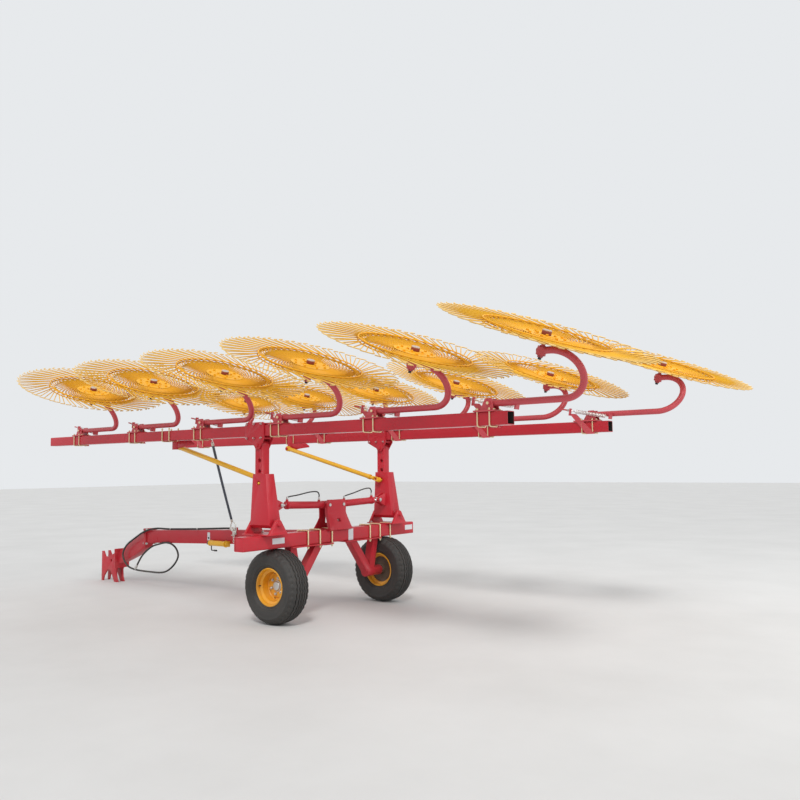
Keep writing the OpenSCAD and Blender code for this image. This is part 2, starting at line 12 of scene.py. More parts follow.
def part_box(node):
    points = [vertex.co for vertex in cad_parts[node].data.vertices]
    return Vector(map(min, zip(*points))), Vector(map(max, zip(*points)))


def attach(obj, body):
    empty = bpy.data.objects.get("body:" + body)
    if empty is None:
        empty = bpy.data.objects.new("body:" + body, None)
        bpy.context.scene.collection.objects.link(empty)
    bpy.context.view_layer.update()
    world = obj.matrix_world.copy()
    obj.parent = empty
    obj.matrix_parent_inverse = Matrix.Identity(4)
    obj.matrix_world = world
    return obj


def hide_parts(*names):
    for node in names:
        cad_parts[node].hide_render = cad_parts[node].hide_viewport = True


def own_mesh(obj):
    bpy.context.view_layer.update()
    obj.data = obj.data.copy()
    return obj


bl_info = {
    "name": "Rotary hay rake",
    "version": (1, 0, 0),
    "blender": (4, 5, 0),
    "location": "3D View > Sidebar > Hay rake",
    "description": "Dresses the hay rake's frame with its tined wheels, tyres, fittings and paint",
    "category": "Object",
}

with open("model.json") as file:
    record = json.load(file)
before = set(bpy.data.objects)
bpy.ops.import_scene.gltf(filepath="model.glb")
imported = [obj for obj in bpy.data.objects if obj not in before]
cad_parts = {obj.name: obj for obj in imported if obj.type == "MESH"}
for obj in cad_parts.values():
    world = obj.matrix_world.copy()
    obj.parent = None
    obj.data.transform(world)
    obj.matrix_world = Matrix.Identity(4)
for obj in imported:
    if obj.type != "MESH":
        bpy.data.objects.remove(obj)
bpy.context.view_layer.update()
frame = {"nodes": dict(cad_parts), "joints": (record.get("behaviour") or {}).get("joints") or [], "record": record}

# The machine's middle is this far in front of its axle, so axle places are moved by it
MID = 0.173
SIDES = {"left": 1, "right": -1}
FORWARD, LEFT, UP = Vector((1, 0, 0)), Vector((0, 1, 0)), Vector((0, 0, 1))

# Brackets of the arms along a beam, front to rear, from the axle
BRACKETS = [-2.346 + (5 - i) * 1.102 for i in range(6)]
BEAM_Y, BEAM_Z, BEAM_HALF = 0.879, 1.752, 0.05
AXLE_Z, AXLE_HALF = 0.745, 0.063
ARM_Z = 1.864

# How far a tined wheel stands above its hub block
HUB_RISE = 0.135
HUB_PLACE = {}
for joint in frame["joints"]:
    if joint["name"].startswith("rake_wheel"):
        HUB_PLACE[joint["child"]] = (Vector(joint["pos_m"]), Vector(joint["axis"]).normalized())


# helpers


def at(x, y, z):
    """A place measured from the axle, moved to the machine's middle."""
    return Vector((x - MID, y, z))


def finish_piece(name, bm, body, looks, replaces=(), angle=35.0):
    """Turns a bmesh into a piece with its finishes that rides on a body, smooth but for its sharp edges."""
    bmesh.ops.recalc_face_normals(bm, faces=bm.faces)
    mesh = bpy.data.meshes.new(name)
    bm.to_mesh(mesh)
    bm.free()
    for key in looks:
        mesh.materials.append(FINISH[key])
    mesh.shade_smooth()
    mesh.set_sharp_from_angle(angle=math.radians(angle))
    piece = bpy.data.objects.new(name, mesh)
    bpy.context.scene.collection.objects.link(piece)
    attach(piece, body)
    if replaces:
        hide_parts(*replaces)
    return piece


def spread(bm, verts):
    """All faces that a set of vertices touches."""
    return list({face for vert in verts for face in vert.link_faces})


def paint(faces, index):
    for face in faces:
        face.material_index = index


def axes_matrix(x, y, z, place):
    """The matrix that stands on a place with three directions as its axes."""
    return Matrix((*zip(x, y, z, place), (0, 0, 0, 1)))


def circle(centre, one, other, steps):
    """Places round a centre, from the end of one arm towards the end of the other."""
    return [centre + one * math.cos(a) + other * math.sin(a)
            for a in (2 * math.pi * i / steps for i in range(steps))]


def turned(direction):
    """The rotation that takes +Z to a direction."""
    return Vector(direction).to_track_quat("Z", "Y").to_matrix().to_4x4()


def bar(bm, a, b, radius, sides=16, bevel=0.0, material=0):
    """A round bar between two places, its end edges chamfered."""
    a, b = Vector(a), Vector(b)
    made = bmesh.ops.create_cone(
        bm, cap_ends=True, cap_tris=False, segments=sides, radius1=radius,
        radius2=radius, depth=(b - a).length,
        matrix=Matrix.Translation((a + b) / 2) @ turned(b - a))
    faces = spread(bm, made["verts"])
    paint(faces, material)
    if bevel:
        rims = [e for f in faces if len(f.verts) == sides for e in f.edges]
        bmesh.ops.bevel(bm, geom=rims, affect="EDGES", offset=bevel, segments=2, profile=0.5, material=-1)


def bars(bm, place, way, parts, material=0):
    """Round bars on one line, each given by its start and end there, its radius, sides and end bevel."""
    for low, high, radius, sides, bevel in parts:
        bar(bm, place + way * low, place + way * high, radius, sides, bevel, material)


def block(bm, low, high, bevel=0.0, material=0, matrix=None, segments=2):
    """A box between two corners with eased edges."""
    low, high = Vector(low), Vector(high)
    size = high - low
    place = Matrix.Translation((low + high) / 2) @ Matrix.Diagonal((*size, 1.0))
    made = bmesh.ops.create_cube(bm, size=1.0, matrix=(matrix or Matrix()) @ place)
    faces = spread(bm, made["verts"])
    paint(faces, material)
    if bevel:
        edges = list({e for f in faces for e in f.edges})
        bmesh.ops.bevel(bm, geom=edges, affect="EDGES", offset=bevel, segments=segments, profile=0.5,
                        material=-1)
    return faces


def hexagon(bm, place, direction, across, thick, material=0, turn=0.0):
    """A nut or bolt head that stands on a place along a direction."""
    direction = Vector(direction).normalized()
    middle = Matrix.Translation(Vector(place) + direction * thick / 2)
    made = bmesh.ops.create_cone(
        bm, cap_ends=True, cap_tris=False, segments=6, radius1=across / 1.732, radius2=across / 1.732,
        depth=thick,
        matrix=middle @ turned(direction) @ Matrix.Rotation(turn, 4, "Z"))
    faces = spread(bm, made["verts"])
    paint(faces, material)
    edges = list({e for f in faces if len(f.verts) == 6 for e in f.edges})
    bmesh.ops.bevel(bm, geom=edges, affect="EDGES", offset=across * 0.06, segments=1, profile=0.5,
                    material=-1)


def bolt(bm, place, direction, across, material=0, washer=True, stub=0.0):
    """A bolt end: washer, hexagon and the thread's end that stands out of it."""
    place, direction = Vector(place), Vector(direction).normalized()
    base = place
    if washer:
        bar(bm, place, place + direction * across * 0.12, across * 0.68, sides=18, material=material)
        base = place + direction * across * 0.12
    hexagon(bm, base, direction, across, across * 0.6, material, turn=(place.x * 7 + place.z * 5) % 1.0)
    if stub:
        start = base + direction * across * 0.6
        bar(bm, start - direction * 0.002, start + direction * stub, across * 0.3, sides=12,
            bevel=across * 0.05, material=material)


def bolt_circle(bm, count, first, radius, height, across, stub=0.0):
    """Bolts round +Z on a face that looks up, from a first angle on."""
    for place in circle(Vector(), Vector((radius, 0, 0)), Vector((0, radius, 0)), count):
        place = Matrix.Rotation(first, 3, "Z") @ place + Vector((0, 0, height))
        bolt(bm, place, (0, 0, 1), across, 1, stub=stub)


def tube(bm, points, radius, sides=8, closed=False, material=0, flat=None, thin=1.0):
    """A round wire or tube swept along points, ring by ring; thin flattens it into a band."""
    points = [Vector(p) for p in points]
    count = len(points)
    normal = None
    rings = []
    for i, point in enumerate(points):
        before = points[i - 1] if i or closed else point
        after = points[(i + 1) % count] if i < count - 1 or closed else point
        run = (after - before).normalized()
        if normal is None:
            guess = flat or (Vector((0, 0, 1)) if abs(run.z) < 0.8 else Vector((1, 0, 0)))
            normal = (guess - run * guess.dot(run)).normalized()
        else:
            normal = (normal - run * normal.dot(run)).normalized()
        turn = axes_matrix(normal, run.cross(normal) * thin, run, point)
        made = bmesh.ops.create_circle(bm, cap_ends=False, segments=sides, radius=radius, matrix=turn)
        rings.append(made["verts"])
    pairs = list(zip(rings, rings[1:])) + ([(rings[-1], rings[0])] if closed else [])
    faces = []
    for low, high in pairs:
        edges = []
        for ring in (low, high):
            inside = set(ring)
            edges += list({e for v in ring for e in v.link_edges if e.other_vert(v) in inside})
        faces += bmesh.ops.bridge_loops(bm, edges=edges)["faces"]
    if not closed:
        for ring in (rings[0], rings[-1]):
            faces.append(bm.faces.new(ring))
    paint(faces, material)
    return faces


def both_sides(half):
    """A half profile of (radius, height), then its mirror image."""
    return half + [(r, -z) for r, z in reversed(half)]


def spun(bm, profile, steps, material=0):
    """A round shape from a profile of (radius, height), turned about +Z."""
    verts = [bm.verts.new((r, 0, z)) for r, z in profile]
    edges = [bm.edges.new(pair) for pair in zip(verts, verts[1:] + verts[:1])]
    before = set(bm.faces)
    bmesh.ops.spin(bm, geom=verts + edges, cent=(0, 0, 0), axis=(0, 0, 1), angle=2 * math.pi, steps=steps,
                   use_merge=True)
    faces = [f for f in bm.faces if f not in before]
    paint(faces, material)
    return faces


def cut_plate(bm, outline, level, thick, bevel):
    """A flat plate across the machine's width: an outline of (x, z) places and its y, with eased edges."""
    verts = [bm.verts.new((x, level, z)) for x, z in outline]
    face = bm.faces.new(verts)
    made = bmesh.ops.extrude_face_region(bm, geom=[face])
    moved = [v for v in made["geom"] if isinstance(v, bmesh.types.BMVert)]
    bmesh.ops.translate(bm, vec=(0, thick, 0), verts=moved)
    edges = list({e for v in moved + verts for e in v.link_edges})
    bmesh.ops.bevel(bm, geom=edges, affect="EDGES", offset=bevel, segments=2, profile=0.5, material=-1)


def bent_plate(bm, rows, thick, hole_row, hole_half):
    """A bent plate from rows of (half width, x, z), top to foot, with an opening below one row."""
    verts = [bm.verts.new((x, -half, z)) for half, x, z in rows]
    edges = [bm.edges.new(pair) for pair in zip(verts, verts[1:])]
    columns = [verts]
    for _ in range(3):
        made = bmesh.ops.extrude_edge_only(bm, edges=edges)
        edges = [e for e in made["geom"] if isinstance(e, bmesh.types.BMEdge)]
        moved = sorted({v for e in edges for v in e.verts}, key=lambda v: -v.co.z)
        columns.append(moved)
    for share, column in zip((-1, None, None, 1), columns):
        for (half, x, z), vert in zip(rows, column):
            vert.co.y = half * share if share else hole_half * (-1 if column is columns[1] else 1)
    inner = [f for f in bm.faces if all(v in columns[1] or v in columns[2] for v in f.verts)]
    inner.sort(key=lambda f: -f.calc_center_median().z)
    bmesh.ops.delete(bm, geom=[inner[hole_row]], context="FACES_ONLY")
    bmesh.ops.solidify(bm, geom=bm.faces[:], thickness=thick)


def mirrored(bm):
    """The same shape on the machine's other side."""
    bmesh.ops.scale(bm, vec=(1, -1, 1), verts=bm.verts)
    bmesh.ops.reverse_faces(bm, faces=bm.faces)


def merged_copy(node):
    """A CAD node's shape as one closed bmesh with its flat faces joined."""
    bm = bmesh.new()
    bm.from_mesh(frame["nodes"][node].data)
    bmesh.ops.remove_doubles(bm, verts=bm.verts, dist=1e-5)
    bmesh.ops.dissolve_limit(bm, angle_limit=math.radians(1.0), verts=bm.verts, edges=bm.edges)
    return bm


# finishes


class Graph:
    """The nodes of one material or group, with short ways to make the usual ones."""

    def __init__(self, tree):
        self.nodes, self.links = tree.nodes, tree.links

    def feed(self, socket, value):
        """Gives a socket another node's output, or a plain value."""
        if isinstance(value, bpy.types.NodeSocket):
            self.links.new(value, socket)
        else:
            socket.default_value = value

    def add(self, kind, **inputs):
        """A node with its named inputs fed; a space in a name is written as an underscore."""
        node = self.nodes.new("ShaderNode" + kind)
        for label, value in inputs.items():
            self.feed(node.inputs[label.replace("_", " ")], value)
        return node

    def maths(self, operation, a, b, clamp=False):
        node = self.nodes.new("ShaderNodeMath")
        node.operation, node.use_clamp = operation, clamp
        self.feed(node.inputs[0], a)
        self.feed(node.inputs[1], b)
        return node.outputs[0]

    def times(self, a, b, clamp=False):
        return self.maths("MULTIPLY", a, b, clamp)

    def plus(self, a, b, clamp=False):
        return self.maths("ADD", a, b, clamp)

    def minus(self, a, b, clamp=False):
        return self.maths("SUBTRACT", a, b, clamp)

    def place(self):
        """Object coordinates, which are the machine's own."""
        return self.nodes.new("ShaderNodeTexCoord").outputs["Object"]

    def height(self, vector):
        return self.add("SeparateXYZ", Vector=vector).outputs["Z"]

    def attribute(self, name):
        node = self.nodes.new("ShaderNodeAttribute")
        node.attribute_name = name
        return node.outputs["Fac"]

    def noise(self, vector, scale, detail=3.0, rough=0.5):
        return self.add("TexNoise", Vector=vector, Scale=scale, Detail=detail, Roughness=rough).outputs["Fac"]

    def ramp(self, value, low, high):
        """A value stretched so that low becomes 0 and high becomes 1."""
        return self.add("MapRange", Value=value, From_Min=low, From_Max=high).outputs[0]

    def mix(self, share, a, b):
        node = self.nodes.new("ShaderNodeMix")
        node.data_type = "RGBA"
        for index, value in ((0, share), (6, a), (7, b)):
            self.feed(node.inputs[index], value)
        return node.outputs[2]

    def bump(self, shader, height, strength, distance):
        skin = self.add("Bump", Height=height, Strength=strength, Distance=distance)
        self.feed(shader.inputs["Normal"], skin.outputs[0])


def look(name):
    """A material with an empty Principled shader, and its graph."""
    made = bpy.data.materials.new(name)
    made.use_nodes = True
    return made, Graph(made.node_tree), made.node_tree.nodes["Principled BSDF"]


def group(name, inputs):
    """A shader node group with named inputs, made once; it puts out a finish's colour, masks and height."""
    made = bpy.data.node_groups.new(name, "ShaderNodeTree")
    for label, value in inputs.items():
        kind = "NodeSocketColor" if isinstance(value, tuple) else "NodeSocketFloat"
        made.interface.new_socket(name=label, in_out="INPUT", socket_type=kind).default_value = value
    made.interface.new_socket(name="Colour", in_out="OUTPUT", socket_type="NodeSocketColor")
    for label in ("Roughness", "Metallic", "Height"):
        made.interface.new_socket(name=label, in_out="OUTPUT", socket_type="NodeSocketFloat")
    given, out = made.nodes.new("NodeGroupInput"), made.nodes.new("NodeGroupOutput")
    return made, Graph(made), given.outputs, out.inputs


def tinted(colour, *shares):
    """A colour with each channel scaled, as a socket takes it."""
    return (*(part * share for part, share in zip(colour, shares)), 1.0)


def paint_group():
    """Brushed-on shop paint: cloudy tone, dust from below, chips on edges and a wavy skin."""
    made, g, given, out = group("Shop paint", {
        "Colour": (0.5, 0.02, 0.03, 1), "Bare": (0.1, 0.09, 0.09, 1), "Tone": 0.2, "Wear": 0.3, "Dust": 0.2,
        "Gloss roughness": 0.3})
    place = g.place()
    geometry = g.add("NewGeometry")
    cloud = g.noise(place, 2.2, 4.0, 0.55)
    fine = g.noise(place, 38.0, 3.0, 0.6)
    shade = g.times(g.minus(cloud, 0.5), given["Tone"])
    shade = g.plus(shade, g.times(g.minus(fine, 0.5), 0.06))
    bright = g.add("HueSaturation", Value=g.plus(shade, 1.0), Color=given["Colour"])
    # Chips where an edge stands proud
    edge = g.ramp(geometry.outputs["Pointiness"], 0.52, 0.6)
    speck = g.ramp(g.noise(place, 90.0, 4.0, 0.7), 0.55, 0.7)
    worn = g.times(g.times(edge, speck), given["Wear"], True)
    colour = g.mix(worn, bright.outputs[0], given["Bare"])
    # Dust lies on what faces up and is thicker near the ground
    up = g.ramp(g.height(geometry.outputs["Normal"]), 0.35, 1.0)
    low = g.ramp(g.height(place), 0.9, 0.1)
    patch = g.ramp(g.noise(place, 7.0, 5.0, 0.65), 0.35, 0.75)
    dust = g.times(g.times(g.maths("MAXIMUM", up, low), patch), given["Dust"], True)
    g.feed(out["Colour"], g.mix(dust, colour, (0.32, 0.27, 0.22, 1.0)))
    rough = g.plus(given["Gloss roughness"], g.times(dust, 0.5))
    g.feed(out["Roughness"], g.plus(rough, g.times(g.minus(cloud, 0.5), 0.18), True))
    g.feed(out["Metallic"], g.times(worn, 0.7))
    skin = g.noise(place, 150.0, 2.0, 0.5)
    wave = g.noise(place, 9.0, 2.0, 0.5)
    tall = g.plus(g.times(skin, 0.25), g.times(wave, 0.75))
    g.feed(out["Height"], g.minus(tall, g.times(worn, 0.6)))
    return made


def metal_group():
    """Plated or bare steel: grain, stains and light rust."""
    made, g, given, out = group("Plated steel", {
        "Colour": (0.6, 0.6, 0.6, 1), "Stain": (0.2, 0.12, 0.06, 1), "Stains": 0.3, "Grain": 120.0,
        "Base roughness": 0.3})
    place = g.place()
    fine = g.noise(place, given["Grain"], 4.0)
    blot = g.ramp(g.noise(place, 14.0, 5.0, 0.7), 0.5, 0.75)
    stain = g.times(blot, given["Stains"], True)
    g.feed(out["Colour"], g.mix(stain, given["Colour"], given["Stain"]))
    rough = g.plus(given["Base roughness"], g.times(fine, 0.15))
    g.feed(out["Roughness"], g.plus(rough, g.times(stain, 0.4), True))
    g.feed(out["Metallic"], g.minus(1.0, g.times(stain, 0.8), True))
    g.feed(out["Height"], fine)
    return made


def use_group(made, g, shader, values, strength, distance):
    """Places a group in a material and joins its outputs to the shader."""
    node = g.nodes.new("ShaderNodeGroup")
    node.node_tree = made
    for label, value in values.items():
        node.inputs[label].default_value = value
    g.feed(shader.inputs["Base Color"], node.outputs["Colour"])
    for label in ("Roughness", "Metallic"):
        g.feed(shader.inputs[label], node.outputs[label])
    g.bump(shader, node.outputs["Height"], strength, distance)


def painted(name, colour, tone=0.2, wear=0.35, dust=0.18, rough=0.3, coat=0.12, bare=(0.12, 0.1, 0.09),
            shine=0.4):
    made, g, shader = look(name)
    use_group(GROUPS["paint"], g, shader,
              {"Colour": (*colour, 1.0), "Bare": (*bare, 1.0), "Tone": tone, "Wear": wear, "Dust": dust,
               "Gloss roughness": rough}, 0.18, 0.002)
    shader.inputs["Coat Weight"].default_value = coat
    shader.inputs["Coat Roughness"].default_value = 0.12
    shader.inputs["Specular IOR Level"].default_value = shine
    return made


def plated(name, colour, stains=0.35, rough=0.28, grain=120.0):
    made, g, shader = look(name)
    use_group(GROUPS["metal"], g, shader,
              {"Colour": (*colour, 1.0), "Stain": (0.16, 0.09, 0.05, 1.0), "Stains": stains, "Grain": grain,
               "Base roughness": rough}, 0.15, 0.0006)
    return made


def tine_look(name, colour, tip):
    """Powder-coated wire: deep yellow that pales towards the polished tips, by distance from its hub. Inside the
    ring it is painted deeper, so that the outer wires look paler: painted sheen. Painted shade darkens the lower
    wire of each pair and the wires' undersides.
    """
    made, g, shader = look(name)
    place = g.place()
    reach, lower = g.attribute("reach"), g.attribute("lower wire")
    fine = g.noise(place, 60.0, 3.0, 0.6)
    broad = g.noise(place, 3.0, 3.0, 0.5)
    worn = g.ramp(g.plus(reach, g.times(fine, 0.2)), 0.86, 1.3)
    base = g.mix(g.ramp(broad, 0.3, 0.75), tinted(colour, 0.86, 0.8, 0.7), (*colour, 1.0))
    # Painted sheen: the wires inside the ring are painted a deeper orange, so that the outer wires look paler as
    # if they shone
    base = g.mix(g.ramp(reach, 0.62, 0.4), base, tinted(colour, 0.92, 0.8, 0.6))
    tone = g.mix(worn, base, (*tip, 1.0))
    # The lower wire of each pair lies in the other's shade: painted shade darkens it a little everywhere and more
    # inside the ring
    lower_wire_shade = g.times(lower, g.ramp(reach, 0.72, 0.5))
    lower_wire_shade = g.plus(g.times(lower_wire_shade, 0.62), g.times(lower, 0.16))
    tone = g.mix(lower_wire_shade, tone, tinted(colour, 0.42, 0.24, 0.2))
    # Painted shade: the wires' undersides, those facing down, are painted darker as if in their own shadow
    facing = g.height(g.add("NewGeometry").outputs["Normal"])
    underside_shade = g.times(g.ramp(facing, 0.15, -0.75), 0.62)
    g.feed(shader.inputs["Base Color"], g.mix(underside_shade, tone, tinted(colour, 0.36, 0.26, 0.3)))
    g.feed(shader.inputs["Roughness"], g.plus(0.42, g.times(fine, 0.2)))
    g.bump(shader, fine, 0.2, 0.0006)
    shader.inputs["Specular IOR Level"].default_value = 0.25
    return made


def rubber_look(name):
    """Tyre rubber: near black, grey with road dust in its grooves and on its walls."""
    made, g, shader = look(name)
    place = g.place()
    fine = g.noise(place, 55.0, 5.0, 0.7)
    patch = g.ramp(g.noise(place, 5.0, 5.0, 0.65), 0.35, 0.75)
    hollow = g.ramp(g.add("NewGeometry").outputs["Pointiness"], 0.51, 0.44)
    dusty = g.plus(g.times(patch, 0.3), g.times(hollow, 0.5), True)
    dust = g.times(dusty, g.ramp(fine, 0.2, 0.8))
    g.feed(shader.inputs["Base Color"], g.mix(dust, (0.032, 0.030, 0.028, 1.0), (0.135, 0.122, 0.105, 1.0)))
    g.feed(shader.inputs["Roughness"], g.plus(0.62, g.times(dusty, 0.3), True))
    g.bump(shader, fine, 0.3, 0.002)
    return made


def label_look(name, colour):
    """A bare plate: pale foil, a little scuffed and dusty, with nothing on it."""
    made, g, shader = look(name)
    place = g.place()
    scuff = g.ramp(g.noise(place, 70.0, 5.0, 0.7), 0.5, 0.8)
    worn = g.times(scuff, g.noise(place, 12.0, 2.0, 0.5))
    g.feed(shader.inputs["Base Color"], g.mix(worn, (*colour, 1.0), tinted(colour, 0.72, 0.72, 0.74)))
    g.feed(shader.inputs["Roughness"], g.plus(0.35, g.times(scuff, 0.25)))
    return made


GROUPS = {}
FINISH = {}


def make_finishes(chosen):
    """Every finish of the machine, by the plain name that the pieces use."""
    GROUPS["paint"] = paint_group()
    GROUPS["metal"] = metal_group()
    red = tuple(chosen.red)
    # The arms' red is a paler copy of the frame red: painted sheen for the highlights along the thin arms
    arm_red_with_sheen = (red[0] * 1.1, red[1] * 3.6, red[2] * 2.6)
    for key, name, colour, how in (
            ("red", "Red gloss paint", red, {"shine": 0.28}),
            ("arm red sheen", "Arm red with painted sheen", arm_red_with_sheen, {"tone": 0.3, "rough": 0.4}),
            ("rust red", "Hub rust red", (0.25, 0.045, 0.03),
             {"tone": 0.5, "dust": 0.5, "rough": 0.5, "coat": 0.1}),
            ("yellow", "Yellow paint", tuple(chosen.yellow), {"dust": 0.2}),
            ("rim yellow", "Rim yellow paint", (0.80, 0.36, 0.012), {"tone": 0.3, "dust": 0.3}),
            # Near-black finish for the rims' inner side: painted shadow
            ("rim back shade", "Rim back painted shade", (0.075, 0.045, 0.026),
             {"tone": 0.6, "dust": 0.45, "rough": 0.6, "coat": 0.0}),
            ("plate yellow", "Hub plate yellow", (0.86, 0.42, 0.015),
             {"tone": 0.3, "dust": 0.06, "wear": 0.2, "rough": 0.5, "coat": 0.0, "shine": 0.2}),
            ("black", "Black iron", (0.02, 0.02, 0.022),
             {"tone": 0.5, "wear": 0.6, "rough": 0.45, "coat": 0.1, "bare": (0.2, 0.18, 0.16)}),
            ("cap", "Pale cap", (0.55, 0.46, 0.40), {"tone": 0.5, "dust": 0.4, "rough": 0.5, "coat": 0.1}),
            # Near black for the insides of the tubes' hollow ends: painted shade
            ("inside", "Tube hollow painted shade", (0.035, 0.03, 0.028),
             {"tone": 0.6, "wear": 0.0, "dust": 0.2, "rough": 0.75, "coat": 0.0}),
            ("hose", "Hose rubber", (0.018, 0.018, 0.019),
             {"tone": 0.4, "wear": 0.1, "dust": 0.35, "rough": 0.5, "coat": 0.0}),
            ("webbing", "Grey webbing", (0.10, 0.115, 0.14),
             {"tone": 0.6, "wear": 0.0, "dust": 0.3, "rough": 0.85, "coat": 0.0, "shine": 0.1})):
        FINISH[key] = painted(name, colour, **how)
    for key, name, colour, how in (
            ("steel", "Zinc plated steel", (0.62, 0.62, 0.60), {}),
            ("gold", "Yellow passivated steel", (0.86, 0.72, 0.46), {"stains": 0.15, "rough": 0.36}),
            ("spring", "Spring wire", (0.82, 0.80, 0.78), {"stains": 0.12, "rough": 0.38}),
            ("chrome", "Chromed rod", (0.86, 0.86, 0.87), {"stains": 0.05, "rough": 0.08, "grain": 300.0}),
            ("pale hook", "Galvanised hooks", (0.80, 0.80, 0.76), {"stains": 0.2, "rough": 0.42})):
        FINISH[key] = plated(name, colour, **how)
    FINISH["tine"] = tine_look("Tine yellow wire", tuple(chosen.tine), tuple(chosen.tine_tip))
    FINISH["rubber"] = rubber_look("Tyre rubber")
    FINISH["label"] = label_look("Bare plate foil", (0.70, 0.72, 0.74))


# sizes and colours a user would change


class RakeSettings(bpy.types.PropertyGroup):
    red: FloatVectorProperty(name="Red paint", description="Colour of the frame's red paint", subtype="COLOR",
                             size=3, min=0, max=1, default=(0.53, 0.021, 0.036))
    yellow: FloatVectorProperty(name="Yellow paint", description="Colour of the struts and the jack",
                                subtype="COLOR", size=3, min=0, max=1, default=(0.85, 0.46, 0.02))
    tine: FloatVectorProperty(name="Tine yellow", description="Colour of the tine wires", subtype="COLOR",
                              size=3, min=0, max=1, default=(0.90, 0.50, 0.03))
    tine_tip: FloatVectorProperty(name="Tine tip", description="Colour of the tines' outer ends",
                                  subtype="COLOR", size=3, min=0, max=1, default=(0.95, 0.78, 0.42))
    tine_pairs: IntProperty(name="Double tines", description="Double tines round one tined wheel", default=40,
                            min=20, max=48)
    tine_spread: FloatProperty(name="Tine spread",
                               description="Angle between the two wires of a tine, in degrees",
                               default=6.6, min=0.0, max=9.0)
    tine_hook: FloatProperty(name="Tine hook", description="Length of a tine's hooked tip", unit="LENGTH",
                             default=0.042, min=0.025, max=0.06)
    tine_wire: FloatProperty(name="Tine wire", description="Radius of a tine's wire", unit="LENGTH",
                             default=0.0048, min=0.002, max=0.006)
    wheel_radius: FloatProperty(name="Wheel radius", description="Radius of a tined wheel over its tips",
                                unit="LENGTH", default=0.763, min=0.7, max=0.765)
    ring_radius: FloatProperty(name="Ring radius", description="Radius of a tined wheel's ring",
                               unit="LENGTH", default=0.443, min=0.3, max=0.5)
    plate_radius: FloatProperty(name="Hub plate radius", description="Radius of a tined wheel's hub plate",
                                unit="LENGTH", default=0.165, min=0.1, max=0.25)
    tread_blocks: IntProperty(name="Tread waves", description="Waves of the tread round a tyre", default=36,
                              min=20, max=60)
    world_light: FloatProperty(name="World light", description="Strength of the pale sky", default=0.75,
                               min=0.0, max=3.0)


def settings():
    return bpy.context.scene.rake_settings


# pieces


# The camera fitted to the photograph: place, turn in degrees (yaw, pitch and roll) and lens
CAMERA_PLACE = (-5.602, 5.877, 1.397)
CAMERA_TURN = (-52.0589, 4.9048, -0.5658)
CAMERA_LENS = 794.99 / 800 * 36.0


class RAKE_OT_camera(bpy.types.Operator):
    """The camera at the photograph's viewing angle"""
    bl_idname = "rake.camera"
    bl_label = "Camera"

    def execute(self, context):
        data = bpy.data.cameras.new("Camera")
        data.sensor_width = 36.0
        data.lens = CAMERA_LENS
        data.clip_end = 200.0
        camera = bpy.data.objects.new("Camera", data)
        context.scene.collection.objects.link(camera)
        yaw, pitch, roll = (math.radians(v) for v in CAMERA_TURN)
        look_to = Vector((math.cos(pitch) * math.cos(yaw), math.cos(pitch) * math.sin(yaw), math.sin(pitch)))
        right = Vector((math.sin(yaw), -math.cos(yaw), 0))
        up = right.cross(look_to)
        right, up = math.cos(roll) * right + math.sin(roll) * up, math.cos(roll) * up - math.sin(roll) * right
        camera.matrix_world = axes_matrix(right, up, -look_to, CAMERA_PLACE)
        context.scene.camera = camera
        return {"FINISHED"}


class RAKE_OT_finishes(bpy.types.Operator):
    """The paints, metals and rubber, and the finish of each frame part that stays"""
    bl_idname = "rake.finishes"
    bl_label = "Finishes"

    def execute(self, context):
        make_finishes(settings())
        by_slot = {"red_paint": "red", "yellow_paint": "yellow", "tine_yellow": "tine",
                   "tyre_rubber": "rubber",
                   "bright_steel": "chrome", "spring_steel": "spring", "hose_rubber": "hose"}
        for part in frame["record"]["subparts"]:
            node = frame["nodes"][part["node"]]
            node.data.materials.clear()
            # The arms take the paler red with painted sheen
            key = "arm red sheen" if part["node"].startswith("arms") else by_slot[part["material_slot"]]
            node.data.materials.append(FINISH[key])
        return {"FINISHED"}


# The hose's places from the axle, as its frame part has them
HOSE_ROUTE = [(1.480, 0.030, 0.750), (1.600, 0.030, 0.750), (2.100, 0.030, 0.724), (2.600, 0.034, 0.704),
              (2.860, 0.062, 0.702), (3.040, 0.093, 0.660), (3.200, 0.098, 0.588), (3.400, 0.098, 0.480),
              (3.480, 0.098, 0.360), (3.400, 0.098, 0.245), (3.230, 0.098, 0.196), (2.900, 0.098, 0.188),
              (2.630, 0.096, 0.204), (2.465, 0.090, 0.290), (2.390, 0.080, 0.405), (2.465, 0.070, 0.503),
              (2.610, 0.068, 0.545), (2.780, 0.070, 0.520), (2.910, 0.086, 0.480), (3.040, 0.114, 0.380),
              (3.125, 0.128, 0.262)]
HOSE_D = 0.022


def smooth_line(route, steps):
    """A smooth line through places, with a few steps between each two."""
    line = []
    last = len(route) - 1
    for i in range(last):
        a, b, c, d = (route[max(i - 1, 0)], route[i], route[i + 1], route[min(i + 2, last)])
        for k in range(steps):
            t = k / steps
            line.append(b + t * (c - a) / 2 + t * t * (2 * a - 5 * b + 4 * c - d) / 2
                        + t ** 3 * (3 * b - a - 3 * c + d) / 2)
    return line + [route[last]]


